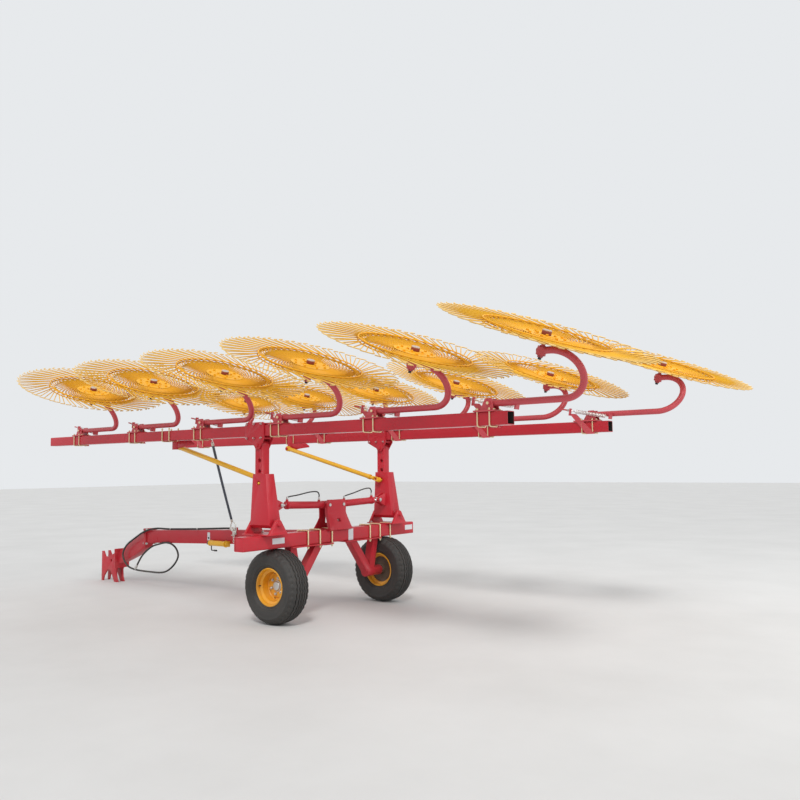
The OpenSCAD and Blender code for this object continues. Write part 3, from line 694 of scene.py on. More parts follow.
class RAKE_OT_hose(bpy.types.Operator):
    """The hydraulic hose along the drawbar, looped beside its nose, with its ferrule, clips and coupling"""
    bl_idname = "rake.hose"
    bl_label = "Hose"

    def execute(self, context):
        line = smooth_line([at(*place) for place in HOSE_ROUTE], 6)
        bm = bmesh.new()
        tube(bm, line, HOSE_D / 2 - 0.0004, sides=12, flat=LEFT)
        hose = finish_piece("drawbar_hose", bm, "cart", ["hose"], ["hose"])
        bm = bmesh.new()
        end, way = line[-1], (line[-1] - line[-2]).normalized()
        hexagon(bm, end + way * 0.019, way, 0.026, 0.013)
        bars(bm, end, way, [(0.0, 0.020, 0.0125, 24, 0.0015), (0.031, 0.046, 0.0155, 28, 0.0015),
                            (0.045, 0.069, 0.0115, 24, 0.002),
                            *((0.0335 + 0.004 * k, 0.0357 + 0.004 * k, 0.016, 28, 0.0) for k in range(3))])
        coupling = finish_piece("hose_quick_coupling", bm, "cart", ["steel"],
                                ["hose_coupling"])
        start, out = line[0], (line[1] - line[0]).normalized()
        # Ferrule, ties and the clips that hold the hose to the drawbar
        bm = bmesh.new()
        bar(bm, start + out * 0.0005, start + out * 0.045, 0.0135, sides=24, bevel=0.001)
        hexagon(bm, start - out * 0.0005, out, 0.029, 0.014)
        for place in (at(*HOSE_ROUTE[2]), at(*HOSE_ROUTE[3])):
            bars(bm, place, FORWARD, [(-0.008, 0.008, 0.0128, 20, 0.001)])
            block(bm, place - Vector((0.008, 0.026, 0.0135)), place + Vector((0.008, 0.004, -0.0105)), 0.0006)
        finish_piece("hose_clips", bm, "cart", ["steel"])
        bm = bmesh.new()
        for x, y, z, run in ((2.600, 0.068, 0.544, (1, 0, 0)), (2.700, 0.068, 0.540, (1, 0, -0.1)),
                             (3.040, 0.093, 0.660, (1, 0.15, -0.4))):
            place = at(x, y, z)
            bars(bm, place, Vector(run).normalized(), [(-0.0045, 0.0045, 0.0125, 16, 0.0008)])
            block(bm, (place.x - 0.004, 0.0545, place.z + 0.006),
                  (place.x + 0.004, place.y, place.z + 0.0105), 0.0006)
        finish_piece("hose_ties", bm, "cart", ["black"])
        return {"FINISHED"}


def softened_mesh(node, width):
    """A frame part's shape with its hard edges eased."""
    bm = merged_copy(node)
    hard = [e for e in bm.edges if len(e.link_faces) == 2 and e.calc_face_angle(0) > math.radians(40.0)]
    bmesh.ops.bevel(bm, geom=hard, affect="EDGES", offset=width, segments=2, profile=0.5, material=-1,
                    clamp_overlap=True)
    return bm


def softened(name, node, body, width):
    """A red piece that stands for a frame part, with its hard edges eased."""
    finish_piece(name, softened_mesh(node, width), body, ["red"], [node])


def square_tube(bm, low, high, wall, radius):
    """A hollow square tube along its long side, with round corners and a hollow at each end whose inside is
    painted near black as painted shade.
    """
    low, high = Vector(low), Vector(high)
    size = high - low
    long = max(range(3), key=lambda i: size[i])
    before = set(bm.faces)
    faces = block(bm, low, high)
    along = [e for e in {e for f in faces for e in f.edges}
             if abs((e.verts[0].co - e.verts[1].co)[long]) > size[long] * 0.5]
    bmesh.ops.bevel(bm, geom=along, affect="EDGES", offset=radius, segments=4, profile=0.5, material=-1)
    bm.normal_update()
    ends = [f for f in bm.faces if f not in before and abs(f.normal[long]) > 0.9]
    for end in ends:
        shift = Vector((0, 0, 0))
        shift[long] = math.copysign(0.25, (low + high)[long] / 2 - end.calc_center_median()[long])
        bmesh.ops.inset_region(bm, faces=[end], thickness=wall, depth=0.0, use_even_offset=True)
        mouth = list(end.edges)
        bmesh.ops.delete(bm, geom=[end], context="FACES_ONLY")
        made = bmesh.ops.extrude_edge_only(bm, edges=mouth)["geom"]
        moved = [v for v in made if isinstance(v, bmesh.types.BMVert)]
        rim = [e for e in made if isinstance(e, bmesh.types.BMEdge) and e.is_boundary]
        bmesh.ops.edgeloop_fill(bm, edges=rim)
        # Painted shade: the hollow's inside takes the near-black finish
        paint(spread(bm, moved), 1)
        bmesh.ops.translate(bm, vec=shift, verts=moved)


class RAKE_OT_beams(bpy.types.Operator):
    """The two rake beams and the axle beam: square tubes with rounded corners and open ends"""
    bl_idname = "rake.beams"
    bl_label = "Beams"

    def execute(self, context):
        for label in SIDES:
            bm = bmesh.new()
            low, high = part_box("beam_" + label)
            square_tube(bm, low, high, 0.006, 0.009)
            finish_piece("beam_tube_" + label, bm, "beam_" + label,
                         ["red", "inside"], ["beam_" + label])
        bm = bmesh.new()
        low, high = (Vector(corner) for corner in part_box("axle_beam"))
        square_tube(bm, low, high, 0.008, 0.011)
        for y in (low.y + 0.0025, high.y - 0.0085):
            block(bm, (low.x + 0.007, y, low.z + 0.007), (high.x - 0.007, y + 0.006, high.z - 0.007), 0.001)
        finish_piece("axle_tube", bm, "cart", ["red", "inside"], ["axle_beam"])
        return {"FINISHED"}


class RAKE_OT_frame_parts(bpy.types.Operator):
    """Plates, masts and brackets with their cut edges eased"""
    bl_idname = "rake.frame_parts"
    bl_label = "Frame parts"

    def execute(self, context):
        for node, width in (("drawbar", 0.004), ("drawbar_nose", 0.004), ("hitch", 0.0025)):
            softened(node + "_steel", node, "cart", width)
        for label in SIDES:
            softened("mast_seat_steel_" + label, "mast_seat_" + label, "cart", 0.003)
            softened("wheel_leg_steel_" + label, "wheel_leg_" + label, "cart", 0.005)
            softened("mast_steel_" + label, "mast_" + label, "mast_" + label, 0.003)
        return {"FINISHED"}


def weld_ring(bm, place, direction, radius, size):
    """A bead of weld round a bar's foot."""
    turn = Matrix.Translation(place) @ turned(direction)
    ring = [turn @ Vector((radius * math.cos(a), radius * math.sin(a), 0.0008 * math.sin(a * 17)))
            for a in (i * math.pi / 20 for i in range(40))]
    tube(bm, ring, size, sides=6, closed=True, flat=direction)


# Where the tilt cylinders' pins stand across and above the axle: on the bracket, and at the masts' ears
RAM_IN, RAM_OUT = (0.100, 1.045), (0.715, 1.066)


class RAKE_OT_centre_bracket(bpy.types.Operator):
    """The bent bracket on the axle that holds the two tilt cylinders"""
    bl_idname = "rake.centre_bracket"
    bl_label = "Centre bracket"

    def execute(self, context):
        bm = bmesh.new()
        rear = [(0.100, -0.028, 1.082), (0.125, -0.028, 1.056), (0.122, -0.028, 0.972),
                (0.124, -0.032, 0.952),
                (0.128, -0.0465, 0.916), (0.137, -0.068, 0.864), (0.147, -0.090, 0.811)]
        front = [(0.100, 0.090, 1.082), (0.125, 0.090, 1.056), (0.120, 0.090, 0.952), (0.122, 0.090, 0.916),
                 (0.158, 0.091, 0.864), (0.203, 0.092, 0.808)]
        bent_plate(bm, rear, 0.012, 4, 0.038)
        bent_plate(bm, front, -0.012, 3, 0.038)
        edges = [e for e in bm.edges
                 if e.is_boundary or (len(e.link_faces) == 2 and e.calc_face_angle(0) > 1.2)]
        bmesh.ops.bevel(bm, geom=edges, affect="EDGES", offset=0.0022, segments=2, profile=0.5, material=-1)
        block(bm, (-0.090, -0.146, 0.8078), (0.092, 0.146, 0.818), 0.002)
        for y in (-0.040, 0.040):
            bar(bm, (-0.026, y, RAM_IN[1]), (0.086, y, RAM_IN[1]), 0.016, sides=20)
        for y in (-RAM_IN[0], RAM_IN[0]):
            bar(bm, (-0.0345, y, RAM_IN[1]), (-0.031, y, RAM_IN[1]), 0.026, sides=24, bevel=0.001)
        bmesh.ops.translate(bm, vec=(-MID, 0, 0), verts=bm.verts)
        finish_piece("centre_bracket_steel", bm, "cart", ["red"], ["centre_bracket"])
        # The pins' nuts behind and heads in front
        bm = bmesh.new()
        for y in (-RAM_IN[0], RAM_IN[0]):
            hexagon(bm, at(-0.038, y, RAM_IN[1]), (-1, 0, 0), 0.030, 0.010)
            bar(bm, at(0.092, y, RAM_IN[1]), at(0.101, y, RAM_IN[1]), 0.020, sides=20, bevel=0.002)
        finish_piece("bracket_pin_nuts", bm, "cart", ["steel"])
        return {"FINISHED"}


# The struts' distance from the middle, and their two pins from the axle: on the beam's lug and in the mast
STRUT_Y, STRUT_LUG, STRUT_PIN = 0.787, (1.464, 1.642), (0.068, 1.274)


class RAKE_OT_struts(bpy.types.Operator):
    """The yellow struts: tube with eye and collar, sliding rod with its eye, and the lugs they hang on"""
    bl_idname = "rake.struts"
    bl_label = "Struts"

    def execute(self, context):
        run = Vector((STRUT_PIN[0] - STRUT_LUG[0], 0, STRUT_PIN[1] - STRUT_LUG[1]))
        length = run.length
        run.normalize()
        down = Vector((run.z, 0, -run.x))
        for label, side in SIDES.items():
            head = at(STRUT_LUG[0], side * STRUT_Y, STRUT_LUG[1])
            tail = head + run * length
            out = LEFT * side
            bm = bmesh.new()
            bars(bm, head, run, [(0.034, length - 0.12, 0.024, 28, 0.002),
                                 (length - 0.150, length - 0.117, 0.0275, 28, 0.002)])
            bars(bm, head, out, [(-0.019, 0.019, 0.030, 28, 0.002)])
            block(bm, (-0.012, -0.016, 0.010), (0.012, 0.016, 0.060), 0.002, 0,
                  Matrix.Translation(head) @ turned(run))
            for along in (length - 0.151, 0.035):
                weld_ring(bm, head + run * along, run, 0.0245, 0.003)
            finish_piece("strut_tube_steel_" + label, bm, "strut_tube_" + label, ["yellow"],
                         ["strut_tube_" + label])
            bm = bmesh.new()
            bars(bm, head, run, [(0.43, length - 0.078, 0.0165, 24, 0.001),
                                 (length - 0.092, length - 0.066, 0.0215, 24, 0.002)])
            for off in (-0.0165, 0.0165):
                fork = tail + down * off - run * 0.075
                bar(bm, fork, tail + down * off * 1.2 - run * 0.010, 0.0062, sides=10)
            # Round eye, open in the middle, and the pin through it
            for y in (-0.010, 0.010):
                ring = circle(tail + out * y, run * 0.0185, down * 0.0185, 24)
                tube(bm, ring, 0.0075, closed=True, flat=LEFT)
            bars(bm, tail, out, [(0.1475, -0.022, 0.0115, 20, 0.0015), (-0.024, -0.0185, 0.017, 20, 0.001)])
            finish_piece("strut_rod_steel_" + label, bm, "strut_rod_" + label, ["yellow"],
                         ["strut_rod_" + label])
            # Clamp plates under the beam, the strut's gusset and its pin
            bm = softened_mesh("beam_clamp_" + label, 0.0025)
            level = (BEAM_Y - BEAM_HALF - 0.0123) * side
            outline = [(1.500, 1.7015), (1.205, 1.7015), (1.150, 1.668), (1.150, 1.652), (1.300, 1.640),
                       (1.490, 1.612), (1.504, 1.630)]
            cut_plate(bm, [(x - MID, z) for x, z in outline], level, 0.0095 * side, 0.0015)
            hexagon(bm, head - out * 0.0282, -out, 0.030, 0.008)
            finish_piece("beam_clamp_steel_" + label, bm, "beam_" + label, ["red"],
                         ["beam_clamp_" + label])
        return {"FINISHED"}


# The stay's ends from the axle: at the left beam's edge and at the drawbar's hook
STAY_TOP, STAY_FOOT = (0.886, 0.806, 1.662), (1.437, 0.088, 0.842)


class RAKE_OT_stay(bpy.types.Operator):
    """The grey lashing strap from the left beam to the drawbar, with its pale hooks"""
    bl_idname = "rake.stay"
    bl_label = "Stay"

    def execute(self, context):
        top, foot = at(*STAY_TOP), at(*STAY_FOOT)
        run = (foot - top).normalized()
        bm = bmesh.new()
        band = [top.lerp(foot, k / 24) - UP * 0.010 * math.sin(math.pi * k / 24) for k in range(25)]
        tube(bm, band, 0.0135, sides=10, flat=Vector((0.8, 0.6, 0)), thin=0.42)
        for place, way in ((top, -run), (foot, run)):
            bar(bm, place - way * 0.030, place + way * 0.012, 0.0145, sides=16, bevel=0.003, material=1)
        # Hook over the beam's lower edge, and the big open hook on the drawbar
        hook = [top - run * 0.010, top + Vector((-0.002, 0.002, 0.022)), top + Vector((-0.003, 0.003, 0.034)),
                top + Vector((-0.003, 0.014, 0.0355)), top + Vector((-0.003, 0.0185, 0.046))]
        tube(bm, hook, 0.0048, material=1, flat=FORWARD)
        loop = [foot + Vector(place) for place in (
            (0.0, 0.0, 0.0), (0.012, -0.006, -0.024), (0.030, -0.012, -0.046), (0.034, -0.014, -0.080),
            (0.012, -0.016, -0.104), (-0.022, -0.018, -0.100), (-0.040, -0.018, -0.070),
            (-0.034, -0.016, -0.034), (-0.012, -0.010, -0.012))]
        tube(bm, smooth_line(loop, 4), 0.0072, material=1, flat=LEFT)
        stay = finish_piece("lashing_stay", bm, "cart", ["webbing", "pale hook"])
        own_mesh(stay)
        # Eye, shackle, pin and the four links of chain on the drawbar's side
        bm = bmesh.new()
        block(bm, at(1.395, 0.0545, 0.690), at(1.455, 0.062, 0.770), 0.002)
        bar(bm, at(1.425, 0.060, 0.746), at(1.425, 0.104, 0.746), 0.010, sides=16, bevel=0.002)
        bar(bm, at(1.425, 0.092, 0.746), at(1.425, 0.098, 0.746), 0.017, sides=20, bevel=0.001)
        bar(bm, at(1.462, 0.072, 0.682), at(1.398, 0.076, 0.690), 0.0055, sides=10, bevel=0.001)
        links = [at(1.412 + 0.004 * (k % 2), 0.076, 0.700 - 0.026 * k) for k in range(4)]
        for k, place in enumerate(links):
            wide = FORWARD if k % 2 else LEFT
            tube(bm, circle(place, wide * 0.0105, UP * 0.018, 16), 0.0036, sides=6, closed=True,
                 flat=wide.cross(UP))
        finish_piece("stay_hook_eye", bm, "cart", ["pale hook"])
        return {"FINISHED"}


class RAKE_OT_cylinders(bpy.types.Operator):
    """The tilt cylinders: barrel, gland, ports with a short hose, rod, eye and pins"""
    bl_idname = "rake.cylinders"
    bl_label = "Cylinders"

    def execute(self, context):
        for label, side in SIDES.items():
            start = at(0.030, side * RAM_IN[0], RAM_IN[1])
            end = at(0.030, side * RAM_OUT[0], RAM_OUT[1])
            run = (end - start).normalized()
            length = (end - start).length
            up = FORWARD.cross(run) * side
            bm = bmesh.new()
            bars(bm, start, run, [(0.040, length - 0.090, 0.035, 36, 0.003),
                                  (length - 0.112, length - 0.086, 0.039, 36, 0.003)])
            weld_ring(bm, start + run * 0.043, run, 0.0335, 0.004)
            weld_ring(bm, start + run * (length - 0.113), run, 0.0360, 0.003)
            place = Matrix.Translation(start) @ turned(run)
            block(bm, (-0.0195, -0.0195, -0.004), (0.0195, 0.0195, 0.045), 0.003, 0, place)
            bars(bm, start, FORWARD, [(-0.0195, 0.0195, 0.034, 32, 0.002)])
            ports = [start + run * 0.085 + up * 0.033, start + run * (length - 0.100) + up * 0.036]
            for port in ports:
                bars(bm, port, up, [(-0.004, 0.016, 0.013, 16, 0.001)])
            finish_piece("tilt_cylinder_" + label, bm, "tilt_barrel_" + label, ["red"],
                         ["tilt_barrel_" + label])
            bm = bmesh.new()
            bars(bm, start, FORWARD, [(x, x + 0.0175, 0.014, 20, 0.001) for x in (-0.068, 0.0505)])
            finish_piece("cylinder_pin_" + label, bm, "tilt_barrel_" + label, ["steel"])
            # Elbows on the ports and a short hose that arches from one to the other
            bm = bmesh.new()
            tops = [port + up * 0.0155 for port in ports]
            for port in tops:
                hexagon(bm, port, up, 0.020, 0.010, 1)
            low, high = tops[::-side]
            line = [low.lerp(high, share) + up * rise for share, rise in (
                (0, 0.008), (0, 0.018), (0.07, 0.028), (0.35, 0.046), (0.7, 0.074), (0.93, 0.078), (1, 0.052),
                (1, 0.026), (1, 0.008))]
            tube(bm, smooth_line(line, 4), 0.0062, sides=10, flat=FORWARD)
            for port in tops:
                bars(bm, port, up, [(0.009, 0.028, 0.0088, 14, 0.0008)], 1)
            finish_piece("cylinder_pipe_" + label, bm, "tilt_barrel_" + label, ["hose", "steel"])
            bm = bmesh.new()
            bars(bm, start, run, [(0.12, length - 0.020, 0.0148, 28, 0.0),
                                  (length - 0.052, length - 0.018, 0.0195, 24, 0.002)])
            for x in (-0.0085, 0.0085):
                ring = circle(end + FORWARD * x, run * 0.0205, up * 0.0205, 24)
                tube(bm, ring, 0.0072, closed=True, flat=FORWARD)
            finish_piece("tilt_rod_steel_" + label, bm, "tilt_rod_" + label, ["chrome"],
                         ["tilt_rod_" + label])
            # Pin through the mast's ears
            bm = bmesh.new()
            bars(bm, end, FORWARD, [(-0.052, 0.052, 0.0130, 20, 0.001), (-0.047, -0.0385, 0.019, 20, 0.001),
                                    (0.0385, 0.047, 0.019, 20, 0.001)])
            finish_piece("mast_ear_pin_" + label, bm, "mast_" + label, ["steel"])
        return {"FINISHED"}


class RAKE_OT_jack(bpy.types.Operator):
    """The yellow parking jack, swung up along the drawbar, with its crank and mount"""
    bl_idname = "rake.jack"
    bl_label = "Parking jack"

    def execute(self, context):
        x, y, z = 1.665, 0.089, 0.585
        bm = bmesh.new()
        bars(bm, at(x, y, z), FORWARD, [
            (-0.135, 0.135, 0.030, 28, 0.002), (-0.139, -0.129, 0.0375, 28, 0.002),
            (0.122, 0.137, 0.0335, 28, 0.002), (-0.165, -0.136, 0.022, 24, 0.002)])
        weld_ring(bm, at(x - 0.128, y, z), FORWARD, 0.0315, 0.003)
        for dx in (-0.070, 0.070):
            block(bm, at(x + dx - 0.020, 0.0553, z - 0.020), at(x + dx + 0.020, y, z + 0.020), 0.003)
        block(bm, at(x - 0.172, y - 0.030, z - 0.030), at(x - 0.165, y + 0.030, z + 0.030), 0.002)
        finish_piece("jack_body", bm, "cart", ["yellow"], ["parking_jack"])
        bm = bmesh.new()
        bars(bm, at(x, y, z), FORWARD, [(0.136, 0.172, 0.021, 24, 0.002)])
        crank = [at(x + dx, y, z - dz) for dx, dz in (
            (0.112, 0.026), (0.112, 0.062), (0.113, 0.074), (0.106, 0.079), (0.062, 0.080))]
        tube(bm, crank, 0.006, flat=LEFT)
        bars(bm, at(x, y, z - 0.080), FORWARD, [(0.064, 0.020, 0.0095, 14, 0.002)])
        finish_piece("jack_crank", bm, "cart", ["black"])
        return {"FINISHED"}


class RAKE_OT_arm_fittings(bpy.types.Operator):
    """Nuts under the hub blocks, and the pins and bolts of the arms' brackets"""
    bl_idname = "rake.arm_fittings"
    bl_label = "Arm fittings"

    def execute(self, context):
        for label, side in SIDES.items():
            bm = bmesh.new()
            for i, xb in enumerate(BRACKETS):
                hub, axis = HUB_PLACE["rake_wheel_%s_%d" % (label, i + 1)]
                foot = hub - axis * HUB_RISE
                hexagon(bm, foot - axis * 0.030, -axis, 0.036, 0.0165, 1)
                bars(bm, foot, -axis, [(0.046, 0.062, 0.0125, 16, 0.002),
                                       (0.0325, 0.029, 0.0275, 24, 0.001)], 1)
                # Arm's pivot pin with its head and washer, and bolts in the saddle
                pivot = at(xb - 0.038, side * BEAM_Y, ARM_Z)
                out = LEFT * side
                bars(bm, pivot, out, [(0.050, 0.056, 0.0165, 20, 0.001),
                                      (-0.0455, -0.050, 0.0165, 20, 0.001)], 3)
                hexagon(bm, pivot + out * 0.055, out, 0.021, 0.009, 2)
                for x in (-0.082, 0.072):
                    for way in (1, -1):
                        bolt(bm, at(xb + x, side * BEAM_Y + way * 0.040, 1.8143), (0, 0, 1), 0.016, 2,
                             washer=False)
            finish_piece("arm_fittings_" + label, bm, "beam_" + label,
                         ["steel", "black", "gold", "arm red sheen"])
        return {"FINISHED"}


# A tined wheel's dish: its depth, the radius it starts from and the radius over its tips
DISH, DISH_R, TIP_R = 0.033, 0.19, 0.771

# A wire's radius where it starts at the hub plate and where it runs straight, and by how much its line
# misses the axle
WIRE_R, BEND_R, OFFSET = 0.157, 0.425, 0.35


def wheel_height(r):
    """Height of a tined wheel's dish below the plane of its tips, by distance from the axle."""
    return -DISH * (1 - (r - DISH_R) / (TIP_R - DISH_R))


def tine_line(spread_by, sizes):
    """One wire of a double tine in the wheel's own frame: a spiral from the hub plate to the ring, a straight
    run beyond it and a hooked tip. spread_by is 1 or -1 for the pair's two wires."""
    lean = math.asin(OFFSET / BEND_R)
    flat = []
    for k in range(7):
        r = WIRE_R + (BEND_R - WIRE_R) * k / 7
        angle = lean - math.pi / 2 - math.tan(lean) * math.log(BEND_R / r)
        flat.append((r * math.cos(angle), r * math.sin(angle)))
    split = BEND_R * math.cos(lean)
    aim = math.radians(sizes.tine_spread / 2) * spread_by
    reach = 0.46
    ends = []
    while not ends or math.hypot(*ends[-1]) > sizes.wheel_radius - sizes.tine_wire:
        reach -= 0.002
        tip = Vector((split + reach * math.cos(aim), -OFFSET + reach * math.sin(aim)))
        ends = [tuple(tip)]
        for turn, step in ((30, 0.010), (75, 0.010), (100, 0.012), (100, sizes.tine_hook - 0.02)):
            angle = aim - math.radians(turn)
            tip = tip + Vector((math.cos(angle), math.sin(angle))) * step
            ends.append(tuple(tip))
    for k in (0, 1, 2, 3):
        s = reach * k / 4
        flat.append((split + s * math.cos(aim), -OFFSET + s * math.sin(aim)))
    flat += ends
    beside = (sizes.tine_wire + 0.001) * spread_by
    points = []
    for k, (x, y) in enumerate(flat):
        before, after = flat[max(k - 1, 0)], flat[min(k + 1, len(flat) - 1)]
        run = Vector((after[0] - before[0], after[1] - before[1])).normalized()
        height = wheel_height(math.hypot(x, y)) + 0.0024 * spread_by
        points.append((x - run.y * beside, y + run.x * beside, height))
    return points


def tined_wheel(bm, sizes):
    """A tined wheel about its own hub, axle along +Z: wires, ring, hub plate, hub case and bolts."""
    reach = bm.verts.layers.float.new("reach")
    lower = bm.verts.layers.float.new("lower wire")
    pair = []
    for spread_by in (1, -1):
        wire = tube(bm, tine_line(spread_by, sizes), sizes.tine_wire, sides=5)
        # The lower wire of each pair is marked for the painted shade of the tine look
        for vert in {v for f in wire for v in f.verts}:
            vert[lower] = 1.0 if spread_by < 0 else 0.0
        pair += wire
    geom = list({v for f in pair for v in f.verts}) + list({e for f in pair for e in f.edges}) + pair
    for i in range(1, sizes.tine_pairs):
        made = bmesh.ops.duplicate(bm, geom=geom)
        verts = [v for v in made["geom"] if isinstance(v, bmesh.types.BMVert)]
        turn = Matrix.Rotation(2 * math.pi * i / sizes.tine_pairs, 3, "Z")
        bmesh.ops.rotate(bm, cent=(0, 0, 0), matrix=turn, verts=verts)
    for vert in bm.verts:
        vert[reach] = min(1.0, math.hypot(vert.co.x, vert.co.y) / TIP_R)
    # Ring: two round bars that hold the wires between them
    ring = sizes.ring_radius
    for dz in (sizes.tine_wire + 0.0085, -sizes.tine_wire - 0.0085):
        middle = UP * (wheel_height(ring) + dz)
        tube(bm, circle(middle, FORWARD * ring, LEFT * ring, 96), 0.0055, sides=6, closed=True, material=1)
    # Hub plates over and under the wires' inner ends
    plate = sizes.plate_radius
    spun(bm, [(0.03, -0.0275), (plate - 0.03, -0.0275), (plate - 0.004, -0.0255), (plate, -0.0245),
              (plate + 0.002, -0.0255),
              (plate - 0.002, -0.0285), (plate - 0.028, -0.0305), (0.03, -0.0305)], 64, material=1)
    spun(bm, [(0.03, -0.0385), (plate + 0.03, -0.0385), (plate + 0.034, -0.0405), (plate + 0.03, -0.0435),
              (0.03, -0.0435)],
         64, material=1)
    bars(bm, Vector(), UP, [(-0.0280, -0.0235, 0.082, 40, 0.0015)], 1)
    bolt_circle(bm, 8, 0.2, 0.132, -0.0277, 0.018)
    bolt_circle(bm, 4, 0.5, 0.062, -0.0237, 0.017)
    # Hub case under the plate, the turned cap over it and the cap's pale top
    bars(bm, Vector(), UP, [(-0.0745, -0.042, 0.044, 32, 0.003), (-0.0690, -0.0630, 0.0448, 32, 0.001),
                            (-0.024, 0.004, 0.034, 32, 0.003)], 2)
    bars(bm, Vector(), UP, [(0.003, 0.0122, 0.0335, 32, 0.003)], 4)
    hexagon(bm, (0, 0, -0.0105), (0, 0, 1), 0.03, 0.0232, 4)


class RAKE_OT_tined_wheels(bpy.types.Operator):
    """The twelve tined wheels: double wires in a ring, hub plates, case and cap"""
    bl_idname = "rake.tined_wheels"
    bl_label = "Tined wheels"

    def execute(self, context):
        sizes = settings()
        model = bmesh.new()
        tined_wheel(model, sizes)
        for label, side in SIDES.items():
            for i in range(6):
                name = "%s_%d" % (label, i + 1)
                place, axis = HUB_PLACE["rake_wheel_" + name]
                bm = model.copy()
                bmesh.ops.rotate(bm, cent=(0, 0, 0), matrix=Matrix.Rotation(0.31 * i + 0.1, 3, "Z"),
                                 verts=bm.verts)
                if side < 0:
                    mirrored(bm)
                forward = (FORWARD - axis * FORWARD.dot(axis)).normalized()
                bmesh.ops.transform(bm, matrix=axes_matrix(forward, axis.cross(forward), axis, place),
                                    verts=bm.verts)
                finish_piece("tined_wheel_" + name, bm, "rake_wheel_" + name,
                             ["tine", "plate yellow", "rust red", "steel", "cap"],
                             ["rake_wheel_" + name], angle=50.0)
        model.free()
        return {"FINISHED"}


# The road wheels' radii and widths, and their distance from the middle
TYRE_R, TYRE_W, RIM_R, RIM_W = 0.337, 0.240, 0.1725, 0.184
WHEEL_Y = 0.774


def wheel_matrix(side):
    """A road wheel's own frame: +Z outward along the axle."""
    return Matrix.Translation((-MID, side * WHEEL_Y, TYRE_R)) @ Matrix.Rotation(-side * math.pi / 2, 4, "X")


def crown(z):
    """Radius of the tread's crown, by height above the tyre's middle."""
    return TYRE_R - 0.0005 - 0.020 * (abs(z) / 0.1) ** 2.6


class RAKE_OT_tyres(bpy.types.Operator):
    """The two road tyres: ribbed implement tread, rounded shoulders and ringed walls"""
    bl_idname = "rake.tyres"
    bl_label = "Tyres"

    def execute(self, context):
        steps = settings().tread_blocks * 4
        half = TYRE_W / 2
        # Outer side from the bead to the shoulder, then the ribs and grooves of the tread
        wall = [(RIM_R + dr, z) for dr, z in (
            (-0.012, 0.0795), (0.001, 0.0835), (0.004, 0.092), (0.012, 0.0975), (0.016, 0.0965),
            (0.030, 0.1085),
            (0.034, 0.1075), (0.060, 0.1165), (0.083, half - 0.001), (0.105, half - 0.0025),
            (0.108, half - 0.001), (0.121, half - 0.0065), (0.136, half - 0.018))]
        tread = []
        deep = 0.011
        for low, high in ((0.094, 0.066), (0.056, 0.034), (0.024, 0.009)):
            middle = (low + high) / 2
            tread += [(crown(low) - (deep if low < 0.09 else 0.004), low + 0.001), (crown(low), low - 0.001),
                      (crown(middle), middle), (crown(high), high + 0.001),
                      (crown(high) - deep, high - 0.001)]
        tread += [(crown(0) - deep, 0.0045), (crown(0), 0.003)]
        profile = both_sides(wall + tread) + both_sides([(RIM_R - 0.0145, -0.079), (RIM_R + 0.03, -0.07)])
        for label, side in SIDES.items():
            bm = bmesh.new()
            spun(bm, profile, steps)
            # The grooves zigzag and the shoulders are notched
            for vert in bm.verts:
                r = math.hypot(vert.co.x, vert.co.y)
                if r > TYRE_R - 0.045:
                    k = round(math.atan2(vert.co.y, vert.co.x) / (2 * math.pi) * steps)
                    z = abs(vert.co.z)
                    if z < 0.09:
                        vert.co.z += 0.0032 * (1 if k % 4 < 2 else -1)
                    elif k % 4 == 0 and z < 0.112:
                        cut = 1 - 0.008 / r
                        vert.co.x *= cut
                        vert.co.y *= cut
                        vert.co.z -= math.copysign(0.003, vert.co.z)
            bmesh.ops.transform(bm, matrix=wheel_matrix(side), verts=bm.verts)
            finish_piece("tyre_rubber_" + label, bm, "wheel_" + label, ["rubber"],
                         ["tyre_" + label], angle=38.0)
        return {"FINISHED"}


